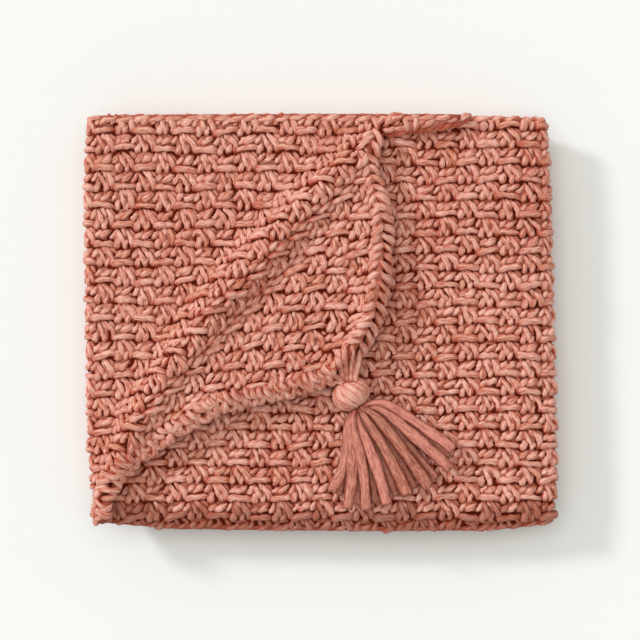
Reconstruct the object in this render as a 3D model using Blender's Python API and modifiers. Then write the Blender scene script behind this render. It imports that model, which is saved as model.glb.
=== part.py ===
"""A chunky knit blanket, folded back and forth into a packet of six layers.

The corner of the top layer is pushed back, so that the cloth stands up in a soft slanting ridge and ends
in a flap with a thick, curled hem. A tassel hangs from that corner and lies on the layer below.

Metres, +Z up. X runs along the packet's width and +Y to its back edge. The packet lies on Z = 0, with its
middle at the origin.
"""

import math

import bmesh
import bpy
import numpy as np
from mathutils import Matrix, Vector

MM = 0.001

# The cloth: two stitches of a thick single-ply yarn lie over each other.
CLOTH_THICK = 12 * MM
LAYER_GAP = 2.2 * MM
LAYER_STEP = CLOTH_THICK + LAYER_GAP
TOP = 5  # the layers count from 0, the one on the floor, to 5, the one with the flap
FOLD_BULGE = LAYER_STEP / 2
FOLD_REACH = FOLD_BULGE + CLOTH_THICK / 2  # from the end of a layer's flat run to the fold's outer face

# The packet's outline, a little uneven, as it lies.
SIDES = (  # y, x of the left side, x of the right side
    (0.256, -0.288, 0.278),
    (0.175, -0.293, 0.282),
    (0.000, -0.291, 0.287),
    (-0.155, -0.288, 0.291),
    (-0.255, -0.278, 0.290),
)
ENDS = (  # x, y of the back edge, y of the front edge
    (-0.290, 0.2550, -0.2430),
    (-0.210, 0.2565, -0.2530),
    (0.000, 0.2575, -0.2565),
    (0.200, 0.2560, -0.2560),
    (0.290, 0.2530, -0.2470),
)

# How far each layer stops short of that outline. The two upper layers overhang the four others.
LAYERS = (  # short of the left side, the right side, the front edge, the back edge
    (3 * MM, 24 * MM, 39 * MM, 3 * MM),
    (3 * MM, 34 * MM, 38 * MM, 1 * MM),
    (6 * MM, 34 * MM, 41 * MM, 4 * MM),
    (6 * MM, 0 * MM, 4 * MM, 2 * MM),
    (0 * MM, 0 * MM, 0 * MM, 0 * MM),
    (0 * MM, 0 * MM, 0 * MM, 0 * MM),
)
LAST_LOW = 2  # the highest of the layers that are overhung
DROOP_SIDE = 46 * MM  # the width of the band along the right side that sinks
DROOP_FRONT = 42 * MM  # and along the front edge
SINK_SIDE = 13 * MM  # how far it sinks
SINK_FRONT = 15 * MM
CROWN = 1.6 * MM  # the uneven swell of the stack
CROWN_WAVE = (0.31, 0.27)

# The flap. The crest runs from the back edge to the front left corner.
CREST = (  # x, y, height of the crest, width of the bank behind it and before it, level of the valley
    (0.0750, 0.2430, 5 * MM, 14 * MM, 14 * MM, 3 * MM),
    (0.0260, 0.1930, 21 * MM, 25 * MM, 28 * MM, 11 * MM),
    (-0.0275, 0.1390, 29 * MM, 31 * MM, 36 * MM, 13 * MM),
    (-0.1130, 0.0410, 32 * MM, 34 * MM, 38 * MM, 13 * MM),
    (-0.2110, -0.0940, 27 * MM, 28 * MM, 25 * MM, 13 * MM),
    (-0.2550, -0.1850, 21 * MM, 17 * MM, 13 * MM, 10 * MM),
    (-0.2640, -0.2250, 13 * MM, 12 * MM, 10 * MM, 7 * MM),
    (-0.2650, -0.2450, 7 * MM, 9 * MM, 8 * MM, 4 * MM),
)
SIDE_HEM = (  # x, y down the flap's right hem, from the lip to the tassel
    (0.0750, 0.2310),
    (0.0680, 0.2000),
    (0.0760, 0.1600),
    (0.0830, 0.1140),
    (0.0830, 0.0780),
    (0.0805, 0.0520),
    (0.0755, 0.0270),
    (0.0690, 0.0030),
    (0.0575, -0.0215),
    (0.0455, -0.0410),
    (0.0300, -0.0585),
)
FRONT_HEM = (  # x, y along the flap's front hem, from the front left corner to the tassel
    (-0.2650, -0.2450),
    (-0.2605, -0.2200),
    (-0.2485, -0.1925),
    (-0.2270, -0.1690),
    (-0.1930, -0.1455),
    (-0.1630, -0.1275),
    (-0.1130, -0.1005),
    (-0.0585, -0.0900),
    (-0.0195, -0.0800),
    (0.0120, -0.0690),
    (0.0300, -0.0585),
)
LIP = (  # x, y of the narrow lip that the hem leaves along the back edge
    (0.0750, 0.2310),
    (0.1050, 0.2355),
    (0.1370, 0.2400),
    (0.1800, 0.2480),
)
LIP_FADE = 12 * MM  # the ridge ends over this width of the lip
FLAP_LEVEL = 17 * MM  # how high the flap stands beyond its valley
FLAP_RISE = 45 * MM  # the way that it takes to get there
HEM_LIFT = 5 * MM  # how high the hem stands off the layer below
HEM_CURL = 15 * MM  # the width of the hem that curls down to it
FLAP_WAVE = (0.083, 0.071)  # the flap and its ridge are a little uneven
FLAP_UNEVEN = 1.5 * MM
ROLL_HEIGHT = 8 * MM  # the roll along the last part of the side hem
ROLL_INSET = 15 * MM
ROLL_WIDE = 13 * MM
ROLL_FROM, ROLL_FULL = 0.13, 0.03  # the y where the roll starts, and where it has its full height

# The tassel.
HEAD_AT = (0.0359, -0.0855)  # x, y of the middle of its head
HEAD_SIZE = (46 * MM, 37 * MM, 34 * MM)
NECK_AT = (0.0430, -0.1045)
NECK_WIDE = 17 * MM
SKIRT_AT = (0.0465, -0.1085)  # x, y where all the strands start
TASSEL_CLEAR = 3 * MM  # between the cloth and the tassel, where the stitches stand up
ROOT_AT = (0.0510, -0.1150)  # x, y of the gathered root of the skirt
ROOT_SIZE = (34 * MM, 30 * MM, 24 * MM)
STRANDS = (  # heading at the neck and at the end in degrees, length, width at the end, row: 1 lies on 0
    (-100, -122, 106 * MM, 17 * MM, 1),
    (-95, -101, 122 * MM, 18 * MM, 1),
    (-85, -89, 122 * MM, 18 * MM, 1),
    (-72, -76, 120 * MM, 19 * MM, 1),
    (-55, -66, 120 * MM, 19 * MM, 1),
    (-38, -58, 128 * MM, 19 * MM, 1),
    (-20, -46, 134 * MM, 19 * MM, 1),
    (-3, -43, 127 * MM, 17 * MM, 1),
    (-98, -112, 108 * MM, 15 * MM, 0),
    (-90, -94, 116 * MM, 16 * MM, 0),
    (-78, -83, 116 * MM, 16 * MM, 0),
    (-64, -70, 114 * MM, 16 * MM, 0),
    (-48, -62, 118 * MM, 16 * MM, 0),
    (-30, -54, 128 * MM, 16 * MM, 0),
    (-12, -44, 126 * MM, 15 * MM, 0),
)
STRAND_ROOT = 6 * MM  # a strand's width at the neck
STRAND_THICK = 7 * MM
STRAND_STEPS = 9
ROW_GAP = 3 * MM  # between the rows
ROW_ARCH = 4 * MM  # how far the upper row arches over the lower one
ROW_LEAVES = (0.35, 0.55)  # where a row's strands leave the neck, as a share of the head's height
SINK_SHARE = 0.62  # a strand lies in its row after this share of its length

# The tie: a knot between the corner and the head, and one free end on the flap.
KNOT_AT = (0.0325, -0.0628)
KNOT_SIZE = (9 * MM, 5 * MM, 8 * MM)
KNOT_SHARE = 0.66  # its height, as a share of the head's
TAIL = (  # x, y, height over the flap's own face
    (0.0325, -0.0628, 0 * MM),
    (0.0240, -0.0655, 4 * MM),
    (0.0140, -0.0620, 5 * MM),
    (0.0045, -0.0540, 5 * MM),
)
TIE_THICK = 5 * MM

YARN_COLOUR = (0.62, 0.27, 0.19, 1.0)


def smooth(t):
    """0 below 0, 1 above 1, and a soft step between."""
    t = np.clip(t, 0, 1)
    return t * t * (3 - 2 * t)


def soft_curve(rows, steps=80):
    """A smooth curve through the rows of a table, every column blended alike."""
    rows = np.array(rows, float)
    rows = np.vstack([2 * rows[0] - rows[1], rows, 2 * rows[-1] - rows[-2]])
    along = np.linspace(0, len(rows) - 3, steps)
    i = np.minimum(along.astype(int), len(rows) - 4)
    t = (along - i)[:, None]
    a, b, c, d = (rows[i + k] for k in range(4))
    return b + 0.5 * t * (c - a + t * (2 * a - 5 * b + 4 * c - d + t * (3 * (b - c) + d - a)))


def at_share(curve, share):
    """Points on a curve at shares of its length."""
    step = np.linalg.norm(np.diff(curve[:, :2], axis=0), axis=1)
    along = np.concatenate([[0], np.cumsum(step)]) / step.sum()
    return np.stack([np.interp(share, along, curve[:, k]) for k in range(curve.shape[1])], axis=-1)


def beside(points, curve):
    """How far plan points lie from a curve, positive to its left, and the curve's row beside each."""
    a, b = curve[:-1, :2], curve[1:, :2]
    d = b - a
    away = points[:, None, :] - a
    t = np.clip((away * d).sum(2) / (d * d).sum(1), 0, 1)
    off = away - t[..., None] * d
    dist = np.linalg.norm(off, axis=2)
    i = dist.argmin(axis=1)
    n = np.arange(len(points))
    side = np.sign(d[i, 0] * away[n, i, 1] - d[i, 1] * away[n, i, 0])
    t = t[n, i][:, None]
    return side * dist[n, i], curve[i] * (1 - t) + curve[i + 1] * t


SIDE_CURVE, END_CURVE = soft_curve(SIDES), soft_curve(ENDS)
CREST_CURVE, LIP_CURVE = soft_curve(CREST), soft_curve(LIP)
SIDE_HEM_CURVE, FRONT_HEM_CURVE = soft_curve(SIDE_HEM), soft_curve(FRONT_HEM)


def side_at(y, column):
    """x of the left (1) or right (2) side at y."""
    return np.interp(-y, -SIDE_CURVE[:, 0], SIDE_CURVE[:, column])


def end_at(x, column):
    """y of the back (1) or front (2) edge at x."""
    return np.interp(x, END_CURVE[:, 0], END_CURVE[:, column])


def layer_plan(layer, across, along):
    """Plan points of a layer, by shares from left to right and from back to front."""
    left, right, front, back = LAYERS[layer]
    y = (1 - along) * SIDES[0][0] + along * SIDES[-1][0]
    x0 = side_at(y, 1) + FOLD_REACH + left
    x1 = side_at(y, 2) - FOLD_REACH - right
    x = x0 + (x1 - x0) * across
    y0, y1 = end_at(x, 1) - back, end_at(x, 2) + front
    return np.stack([x, y0 + (y1 - y0) * along], axis=-1)


def lying_height(layer, plan):
    """Height of a layer's middle where it only lies on the one below."""
    x, y = plan[..., 0], plan[..., 1]
    swell = np.sin(math.tau * (x / CROWN_WAVE[0] + 0.1)) * np.sin(math.tau * (y / CROWN_WAVE[1] + 0.35))
    z = CLOTH_THICK / 2 + layer * LAYER_STEP + CROWN * swell * layer / TOP
    if layer > LAST_LOW:
        by_side = np.clip(1 - (side_at(y, 2) - x) / DROOP_SIDE, 0, 1) ** 2 * SINK_SIDE / SINK_FRONT
        by_front = np.clip(1 - (y - end_at(x, 2)) / DROOP_FRONT, 0, 1) ** 2
        z = z - SINK_FRONT * (1 - (1 - by_side) * (1 - by_front))
    return z


def flap_lift(plan):
    """How far the ridge and the flap stand above the top layer's lying height."""
    shape, points = plan.shape[:-1], plan.reshape(-1, 2)
    off, row = beside(points, CREST_CURVE)
    off = off.reshape(shape)
    crest, behind, before, valley = row[:, 2:].T.reshape(4, *shape)
    bank = crest * smooth(1 + off / behind)
    flap = valley + (crest - valley) * smooth(1 - off / before)
    flap = flap + (FLAP_LEVEL - valley) * smooth((off - before) / FLAP_RISE) * smooth(off / before)
    lift = np.where(off < 0, bank, flap)
    x, y = plan[..., 0], plan[..., 1]
    wave = np.sin(math.tau * x / FLAP_WAVE[0]) * np.sin(math.tau * y / FLAP_WAVE[1])
    lift = lift + FLAP_UNEVEN * wave * smooth(lift / (FLAP_LEVEL / 2))
    to_side, to_front, to_lip = (
        np.abs(beside(points, hem)[0]).reshape(shape) for hem in (SIDE_HEM_CURVE, FRONT_HEM_CURVE, LIP_CURVE)
    )
    roll = smooth(1 - np.abs(to_side - ROLL_INSET) / ROLL_WIDE)
    roll = roll * smooth((ROLL_FROM - y) / (ROLL_FROM - ROLL_FULL))
    lift = lift + ROLL_HEIGHT * roll * smooth(off / before)
    curl = smooth(np.minimum(np.minimum(to_side, to_front), to_lip) / HEM_CURL)
    curl = curl * smooth(1 - (x - LIP[0][0]) / LIP_FADE)
    return HEM_LIFT + (lift - HEM_LIFT) * curl


def cloth_point(layer, plan):
    """Points of the cloth's middle, over plan points."""
    z = lying_height(layer, plan)
    if layer == TOP:
        z = z + flap_lift(plan)
    return np.concatenate([plan, z[..., None]], axis=-1)


ROWS = 14  # from back to front
ROW_CROWDING = 1.35  # above 1, the rows are closer together towards the front edge
RUN_SHARES = (0.0, 0.16, 0.38, 0.62, 0.84, 0.93, 1.0)  # the rings across each lying layer
FOLD_STEPS = 5
FLAP_RINGS = 46  # from the front left corner, along the ridge, to the lip
CORNER_RING = 29  # the ring that starts in the back left corner
TASSEL_RING = 25  # the ring that ends in the tassel's corner
BANK_STEPS = (  # how far from the crest, and at most which share of the way from it
    (8 * MM, 0.12),
    (16 * MM, 0.25),
    (25 * MM, 0.40),
    (36 * MM, 0.55),
)
HEM_STEPS = (  # the same from the hem
    (5 * MM, 0.08),
    (10 * MM, 0.17),
    (16 * MM, 0.28),
)
LIP_ROWS = 2
LIP_STEPS = 7
LIP_END = 0.93  # the lip stops at this share of its curve, before it gets too thin


def strip_rings():
    """Rings of points along the lying layers, from the free end on the floor up to the flap's fold."""
    along = 1 - (1 - np.linspace(0, 1, ROWS + 1)) ** ROW_CROWDING
    rings = []
    for layer in range(TOP):
        shares = RUN_SHARES[::-1] if layer % 2 == 0 else RUN_SHARES
        rings += [cloth_point(layer, layer_plan(layer, np.full(ROWS + 1, s), along)) for s in shares]
        side = -1 if layer % 2 == 0 else 1
        low = rings[-1]
        high = cloth_point(layer + 1, layer_plan(layer + 1, np.full(ROWS + 1, shares[-1]), along))
        for k in range(1, FOLD_STEPS):
            turn = math.pi * k / FOLD_STEPS
            ring = low + (high - low) * (1 - math.cos(turn)) / 2
            ring[:, 0] += side * FOLD_BULGE * math.sin(turn)
            rings.append(ring)
    return rings


def by_rings(first, second, ring):
    """Points along two curves that meet at a ring's number, one for each ring."""
    share = np.linspace(0, 1, FLAP_RINGS - ring + 1)[1:]
    return np.vstack([at_share(first, np.linspace(0, 1, ring + 1)), at_share(second, share)])[:, :2]


def flap_rings():
    """Rings of points across the top layer: from its folded or back edge, over the crest, to the hem."""
    left = layer_plan(TOP, np.zeros(81), np.linspace(1, 0, 81))
    back_x = np.linspace(left[-1, 0], LIP[0][0], 81)
    outer = by_rings(left, np.column_stack([back_x, end_at(back_x, 1)]), CORNER_RING)
    hem = by_rings(FRONT_HEM_CURVE, SIDE_HEM_CURVE[::-1], TASSEL_RING)
    crest = at_share(CREST_CURVE[::-1], np.linspace(0, 1, FLAP_RINGS + 1))[:, :2]
    crest[0] = hem[0] = outer[0]
    rings = []
    for start, top, end in zip(outer, crest, hem):
        wide = np.linalg.norm(start - top)
        away = [min(reach, wide * share) for reach, share in BANK_STEPS]
        away += [away[-1] + (wide - away[-1]) * k / 3 for k in (1, 2)]
        back = [1 - a / max(wide, MM) for a in reversed(away)]
        wide = np.linalg.norm(end - top)
        away = [min(reach, wide * share) for reach, share in BANK_STEPS]
        close = [wide - min(reach, wide * share) for reach, share in reversed(HEM_STEPS)]
        away += [away[-1] + (close[0] - away[-1]) * k / 3 for k in (1, 2)] + close
        front = [a / max(wide, MM) for a in away]
        plan = [start] + [start + (top - start) * s for s in back] + [top]
        plan += [top + (end - top) * s for s in front] + [end]
        rings.append(cloth_point(TOP, np.array(plan)))
    return rings


def lip_rings():
    """Rings across the lip, from beside the flap's last ring to the lip's thin end."""
    rings = []
    for k in range(1, LIP_STEPS + 1):
        low = at_share(LIP_CURVE, LIP_END * k / LIP_STEPS)
        high = np.array([low[0], end_at(low[0], 1)])
        plan = high + (low - high) * np.linspace(0, 1, LIP_ROWS + 1)[:, None]
        rings.append(cloth_point(TOP, plan))
    return rings


def new_object(name, bm, collection, material):
    mesh = bpy.data.meshes.new(name)
    bm.to_mesh(mesh)
    bm.free()
    mesh.shade_smooth()
    mesh.materials.append(material)
    obj = bpy.data.objects.new(name, mesh)
    collection.objects.link(obj)
    return obj


def sheet_grid(bm, points):
    """A grid of faces whose corners are points[i][j]; gives its vertices back in that order."""
    columns, rows = len(points) - 1, len(points[0]) - 1
    made = bmesh.ops.create_grid(bm, x_segments=columns, y_segments=rows, size=1.0)["verts"]
    placed = [[None] * (rows + 1) for _ in range(columns + 1)]
    for v in made:
        i, j = round((v.co.x + 1) / 2 * columns), round((v.co.y + 1) / 2 * rows)
        v.co = points[i][j]
        placed[i][j] = v
    return placed


def edges_along(verts, closed=False):
    """The edges between neighbours in a row, or a closed ring, of vertices."""
    pairs = zip(verts, verts[1:] + verts[:1]) if closed else zip(verts[:-1], verts[1:])
    return [next(e for e in a.link_edges if e.other_vert(a) is b) for a, b in pairs]


def drawn_on(bm, verts, places, closed=False):
    """Extrudes a row or ring of vertices to new places; gives the new vertices in the same order."""
    made = bmesh.ops.extrude_edge_only(bm, edges=edges_along(verts, closed))["geom"]
    fresh = {v for v in made if isinstance(v, bmesh.types.BMVert)}
    new = [next(e.other_vert(v) for e in v.link_edges if e.other_vert(v) in fresh) for v in verts]
    for v, place in zip(new, places):
        v.co = place
    return new


def make_blanket(collection, material):
    bm = bmesh.new()
    strip = sheet_grid(bm, strip_rings())
    flap = sheet_grid(bm, flap_rings())
    lip = sheet_grid(bm, lip_rings())
    fold = [ring[0] for ring in flap[CORNER_RING::-1]]
    bmesh.ops.bridge_loops(bm, edges=edges_along(strip[-1]) + edges_along(fold))
    bmesh.ops.bridge_loops(bm, edges=edges_along(flap[-1]) + edges_along(lip[0]))
    bmesh.ops.remove_doubles(bm, verts=flap[0], dist=0.01 * MM)
    bmesh.ops.recalc_face_normals(bm, faces=bm.faces[:])
    blanket = new_object("blanket", bm, collection, material)
    wall = blanket.modifiers.new("cloth", "SOLIDIFY")
    wall.thickness = CLOTH_THICK
    wall.offset = 0
    return blanket


def cloth_face(layer, x, y):
    """Height of a layer's upper face."""
    return float(cloth_point(layer, np.array([[x, y]]))[0, 2]) + CLOTH_THICK / 2


def make_lock(path, sides, collection, name, material):
    """A flat four-sided strand drawn along a path; sides has a width and thickness for each point."""
    bm = bmesh.new()
    ring = bmesh.ops.create_circle(bm, cap_ends=True, radius=math.sqrt(0.5), segments=4)["verts"]
    bmesh.ops.rotate(bm, matrix=Matrix.Rotation(math.pi / 4, 3, "Z"), verts=ring)
    corners = [v.co.copy() for v in ring]
    for k, (place, (wide, thick)) in enumerate(zip(path, sides)):
        ahead = (path[min(k + 1, len(path) - 1)] - path[max(k - 1, 0)]).normalized()
        cross = ahead.cross(Vector((0, 0, 1))).normalized()
        frame = Matrix((cross * wide, cross.cross(ahead) * thick, ahead)).transposed()
        places = [place + frame @ corner for corner in corners]
        if k:
            ring = drawn_on(bm, ring, places, closed=True)
        else:
            for v, start in zip(ring, places):
                v.co = start
    bmesh.ops.contextual_create(bm, geom=edges_along(ring, closed=True))
    bmesh.ops.recalc_face_normals(bm, faces=bm.faces[:])
    return new_object(name, bm, collection, material)


def make_tube(points, radius, collection, name, material):
    """A six-sided tube with closed ends, through smooth points."""
    curve = bpy.data.curves.new(name, "CURVE")
    curve.dimensions = "3D"
    curve.bevel_depth = radius
    curve.bevel_resolution = 1
    curve.use_fill_caps = True
    spline = curve.splines.new("POLY")
    spline.points.add(len(points) - 1)
    for point, place in zip(spline.points, points):
        point.co = (*place, 1)
    return mesh_of(bpy.data.objects.new(name, curve), collection, material)


def mesh_of(tube, collection, material):
    """A curve object as a closed mesh object; the curve is removed."""
    collection.objects.link(tube)
    bpy.context.view_layer.update()
    mesh = bpy.data.meshes.new_from_object(tube.evaluated_get(bpy.context.evaluated_depsgraph_get()))
    name = tube.name
    bpy.data.objects.remove(tube)
    bm = bmesh.new()
    bm.from_mesh(mesh)
    bpy.data.meshes.remove(mesh)
    bmesh.ops.remove_doubles(bm, verts=bm.verts[:], dist=0.01 * MM)
    bmesh.ops.recalc_face_normals(bm, faces=bm.faces[:])
    return new_object(name, bm, collection, material)


def make_ball(centre, size, segments, rings, collection, name, material):
    bm = bmesh.new()
    bmesh.ops.create_uvsphere(bm, u_segments=segments, v_segments=rings, radius=0.5)
    bmesh.ops.scale(bm, vec=size, verts=bm.verts[:])
    bmesh.ops.translate(bm, vec=centre, verts=bm.verts[:])
    return new_object(name, bm, collection, material)


def join_to(body, guides):
    """Fuses closed guide objects with a body."""
    for guide in guides:
        guide.hide_render = True
        guide.display_type = "WIRE"
        union = body.modifiers.new(guide.name, "BOOLEAN")
        union.operation = "UNION"
        union.object = guide


def strand_path(start, end, length, row, floor):
    """A strand's middle line: out of the neck, down to its row and out into the fan."""
    low = floor + TASSEL_CLEAR + STRAND_THICK / 2 + (STRAND_THICK + ROW_GAP) * row
    high = floor + TASSEL_CLEAR + HEAD_SIZE[2] * ROW_LEAVES[row]
    place = np.array(SKIRT_AT)
    path = []
    for k in range(STRAND_STEPS + 1):
        share = k / STRAND_STEPS
        sunk = float(smooth(share / SINK_SHARE))
        path.append(Vector((*place, high + (low - high) * sunk + ROW_ARCH * row * math.sin(math.pi * share))))
        heading = math.radians(start + (end - start) * share)
        place = place + np.array([math.cos(heading), math.sin(heading)]) * length / STRAND_STEPS
    return path


def make_tassel(collection, guides, material):
    floor = cloth_face(TOP - 1, *NECK_AT)
    middle = floor + TASSEL_CLEAR + HEAD_SIZE[2] / 2
    head = make_ball((*HEAD_AT, middle), HEAD_SIZE, 18, 12, collection, "tassel", material)
    low = floor + TASSEL_CLEAR + ROOT_SIZE[2] / 2
    joined = [make_ball((*ROOT_AT, low), ROOT_SIZE, 14, 10, guides, "root", material)]
    neck = [(*HEAD_AT, middle), (*NECK_AT, (middle + low) / 2), (*ROOT_AT, low)]
    joined.append(make_tube(neck, NECK_WIDE / 2, guides, "neck", material))
    for i, (start, end, length, wide, row) in enumerate(STRANDS):
        path = strand_path(start, end, length, row, floor)
        step = (wide - STRAND_ROOT) / STRAND_STEPS
        sides = [(STRAND_ROOT + step * k, STRAND_THICK) for k in range(STRAND_STEPS + 1)]
        joined.append(make_lock(path, sides, guides, f"strand_{i:02d}", material))
    join_to(head, joined)


def make_tie(collection, guides, material):
    """The knot that holds the tassel to the corner, with its free end on the flap."""
    floor = cloth_face(TOP - 1, *KNOT_AT)
    knot_height = floor + TASSEL_CLEAR + HEAD_SIZE[2] * KNOT_SHARE
    knot = make_ball((*KNOT_AT, knot_height), KNOT_SIZE, 10, 8, collection, "tassel_tie", material)
    clear = TIE_THICK / 2 + TASSEL_CLEAR
    points = [(x, y, max(cloth_face(TOP, x, y) + clear + up, knot_height)) for x, y, up in TAIL]
    points[0] = (*KNOT_AT, knot_height)
    tail = make_tube(soft_curve(points, 9), TIE_THICK / 2, guides, "tail", material)
    join_to(knot, [tail])


def make_material():
    yarn = bpy.data.materials.new("yarn")
    yarn.use_nodes = True
    shader = yarn.node_tree.nodes["Principled BSDF"]
    shader.inputs["Base Color"].default_value = YARN_COLOUR
    shader.inputs["Roughness"].default_value = 0.85
    shader.inputs["Metallic"].default_value = 0.0
    return yarn


def main():
    for obj in list(bpy.data.objects):
        bpy.data.objects.remove(obj)
    parts = bpy.data.collections.new("knit_blanket")
    guides = bpy.data.collections.new("joined_pieces")
    for collection in (parts, guides):
        bpy.context.scene.collection.children.link(collection)
    yarn = make_material()
    make_blanket(parts, yarn)
    make_tassel(parts, guides, yarn)
    make_tie(parts, guides, yarn)


main()
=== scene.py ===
# %% [markdown]
# # A chunky knit blanket, folded, with a tassel
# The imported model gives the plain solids: the folded cloth, the tassel and its tie. This lesson dresses them.
# Nearly all of the look is yarn, so most cells place short lengths of it: on the faces, round the folds,
# along the edges and in the tassel. Everything is in metres, in the same frame as the solids.

# %% Load the frame
import math

import bmesh
import bpy
import numpy as np
from mathutils import Matrix, Vector


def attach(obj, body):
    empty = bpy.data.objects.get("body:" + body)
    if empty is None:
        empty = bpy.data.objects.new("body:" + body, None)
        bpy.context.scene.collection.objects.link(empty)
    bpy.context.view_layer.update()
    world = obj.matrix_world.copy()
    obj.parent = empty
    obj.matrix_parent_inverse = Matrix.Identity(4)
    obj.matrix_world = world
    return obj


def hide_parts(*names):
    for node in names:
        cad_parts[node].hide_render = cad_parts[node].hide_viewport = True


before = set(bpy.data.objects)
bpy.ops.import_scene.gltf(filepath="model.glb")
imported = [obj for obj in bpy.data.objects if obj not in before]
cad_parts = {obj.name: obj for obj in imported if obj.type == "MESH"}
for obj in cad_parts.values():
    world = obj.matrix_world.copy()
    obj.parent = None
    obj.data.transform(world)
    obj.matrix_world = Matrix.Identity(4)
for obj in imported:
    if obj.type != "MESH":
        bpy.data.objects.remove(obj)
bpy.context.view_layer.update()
MM = 0.001

# %% [markdown]
# ## Camera
# The photo looks straight down on the packet. A long lens from three metres shows the sides hardly at all, as
# there. The camera's height follows from the lens and the width that the picture takes in at the upper face.

# %% Camera
PIXEL = 1.2238 * MM  # the width of one pixel of the photo at the packet's upper face
PICTURE = 640 * PIXEL
MIDDLE = (-2.5 * PIXEL, 3.5 * PIXEL)  # where the middle of the photo lies on the packet
FACE_HEIGHT = 88 * MM
camera = bpy.data.cameras.new("camera")
camera.lens = 135
camera_height = FACE_HEIGHT + PICTURE / camera.sensor_width * camera.lens
looking = bpy.data.objects.new("camera", camera)
looking.location = (*MIDDLE, camera_height)
bpy.context.scene.collection.objects.link(looking)
bpy.context.scene.camera = looking
print("camera height", round(camera_height, 3))

# %% [markdown]
# ## Light and floor
# The photo has three lights: a low window at the left that throws the long shadow, a wide one that softens it,
# and a soft lamp above. Suns stand for them, because a wide sun gives every shadow the same soft edge, however
# far the thing that throws it is. The pale world fills the rest.

# %% Light and floor
LIGHTS = (  # name, the way it shines, strength, width in degrees, colour
    ("window", (97, -59, -69), 1.35, 10, (0.92, 0.94, 1.0)),
    ("wide_window", (38, -46, -52), 0.40, 70, (1.0, 1.0, 0.97)),
    ("lamp_above", (4, -6, -60), 1.05, 50, (1.0, 1.0, 0.95)),
)
for name, way, strength, width, colour in LIGHTS:
    sun = bpy.data.lights.new(name, "SUN")
    sun.energy = strength
    sun.angle = math.radians(width)
    sun.color = colour
    lamp = bpy.data.objects.new(name, sun)
    lamp.rotation_euler = Vector(way).to_track_quat("-Z", "Y").to_euler()
    bpy.context.scene.collection.objects.link(lamp)

world = bpy.data.worlds.new("room")
bpy.context.scene.world = world
world.use_nodes = True
world.node_tree.nodes["Background"].inputs["Color"].default_value = (1.0, 0.995, 0.965, 1)
world.node_tree.nodes["Background"].inputs["Strength"].default_value = 0.39
bpy.context.scene.view_settings.view_transform = "Standard"

FLOOR_COLOUR = (0.93, 0.945, 0.925, 1)
floor_material = bpy.data.materials.new("floor")
floor_material.use_nodes = True
floor_material.node_tree.nodes["Principled BSDF"].inputs["Base Color"].default_value = FLOOR_COLOUR
floor_material.node_tree.nodes["Principled BSDF"].inputs["Roughness"].default_value = 0.9
bm = bmesh.new()
bmesh.ops.create_grid(bm, x_segments=1, y_segments=1, size=4)
floor_mesh = bpy.data.meshes.new("floor")
bm.to_mesh(floor_mesh)
bm.free()
floor_mesh.materials.append(floor_material)
floor = bpy.data.objects.new("floor", floor_mesh)
bpy.context.scene.collection.objects.link(floor)
print("suns:", [row[0] for row in LIGHTS], "and the floor")

# %% [markdown]
# ## The folded form
# The cloth is folded back and forth into six layers. The top layer's corner is pushed back, so that it stands up
# in a slanting ridge and ends in a flap. These are the sizes that the solids were made from, repeated here,
# because every stitch has to know where the cloth runs.

# %% Sizes of the folded cloth
CLOTH_THICK = 12 * MM
LAYER_STEP = 14.2 * MM
TOP = 5
FOLD_BULGE = LAYER_STEP / 2
FOLD_REACH = FOLD_BULGE + CLOTH_THICK / 2
SIDES = (  # y, x of the left side, x of the right side
    (0.256, -0.288, 0.278),
    (0.175, -0.293, 0.282),
    (0.000, -0.291, 0.287),
    (-0.155, -0.288, 0.291),
    (-0.255, -0.278, 0.290),
)
ENDS = (  # x, y of the back edge, y of the front edge
    (-0.290, 0.2550, -0.2430),
    (-0.210, 0.2565, -0.2530),
    (0.000, 0.2575, -0.2565),
    (0.200, 0.2560, -0.2560),
    (0.290, 0.2530, -0.2470),
)
LAYERS = (  # short of the left side, the right side, the front edge, the back edge
    (3 * MM, 24 * MM, 39 * MM, 3 * MM),
    (3 * MM, 34 * MM, 38 * MM, 1 * MM),
    (6 * MM, 34 * MM, 41 * MM, 4 * MM),
    (6 * MM, 0 * MM, 4 * MM, 2 * MM),
    (0 * MM, 0 * MM, 0 * MM, 0 * MM),
    (0 * MM, 0 * MM, 0 * MM, 0 * MM),
)
LAST_LOW = 2
DROOP_SIDE, DROOP_FRONT = 46 * MM, 42 * MM
SINK_SIDE, SINK_FRONT = 13 * MM, 15 * MM
CROWN = 1.6 * MM
CROWN_WAVE = (0.31, 0.27)
CREST = (  # x, y, height of the crest, width of the bank behind it and before it, level of the valley
    (0.0750, 0.2430, 5 * MM, 14 * MM, 14 * MM, 3 * MM),
    (0.0260, 0.1930, 21 * MM, 25 * MM, 28 * MM, 11 * MM),
    (-0.0275, 0.1390, 29 * MM, 31 * MM, 36 * MM, 13 * MM),
    (-0.1130, 0.0410, 32 * MM, 34 * MM, 38 * MM, 13 * MM),
    (-0.2110, -0.0940, 27 * MM, 28 * MM, 25 * MM, 13 * MM),
    (-0.2550, -0.1850, 21 * MM, 17 * MM, 13 * MM, 10 * MM),
    (-0.2640, -0.2250, 13 * MM, 12 * MM, 10 * MM, 7 * MM),
    (-0.2650, -0.2450, 7 * MM, 9 * MM, 8 * MM, 4 * MM),
)
SIDE_HEM = (  # x, y down the flap's right hem, from the lip to the tassel
    (0.0750, 0.2310),
    (0.0680, 0.2000),
    (0.0760, 0.1600),
    (0.0830, 0.1140),
    (0.0830, 0.0780),
    (0.0805, 0.0520),
    (0.0755, 0.0270),
    (0.0690, 0.0030),
    (0.0575, -0.0215),
    (0.0455, -0.0410),
    (0.0300, -0.0585),
)
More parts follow.
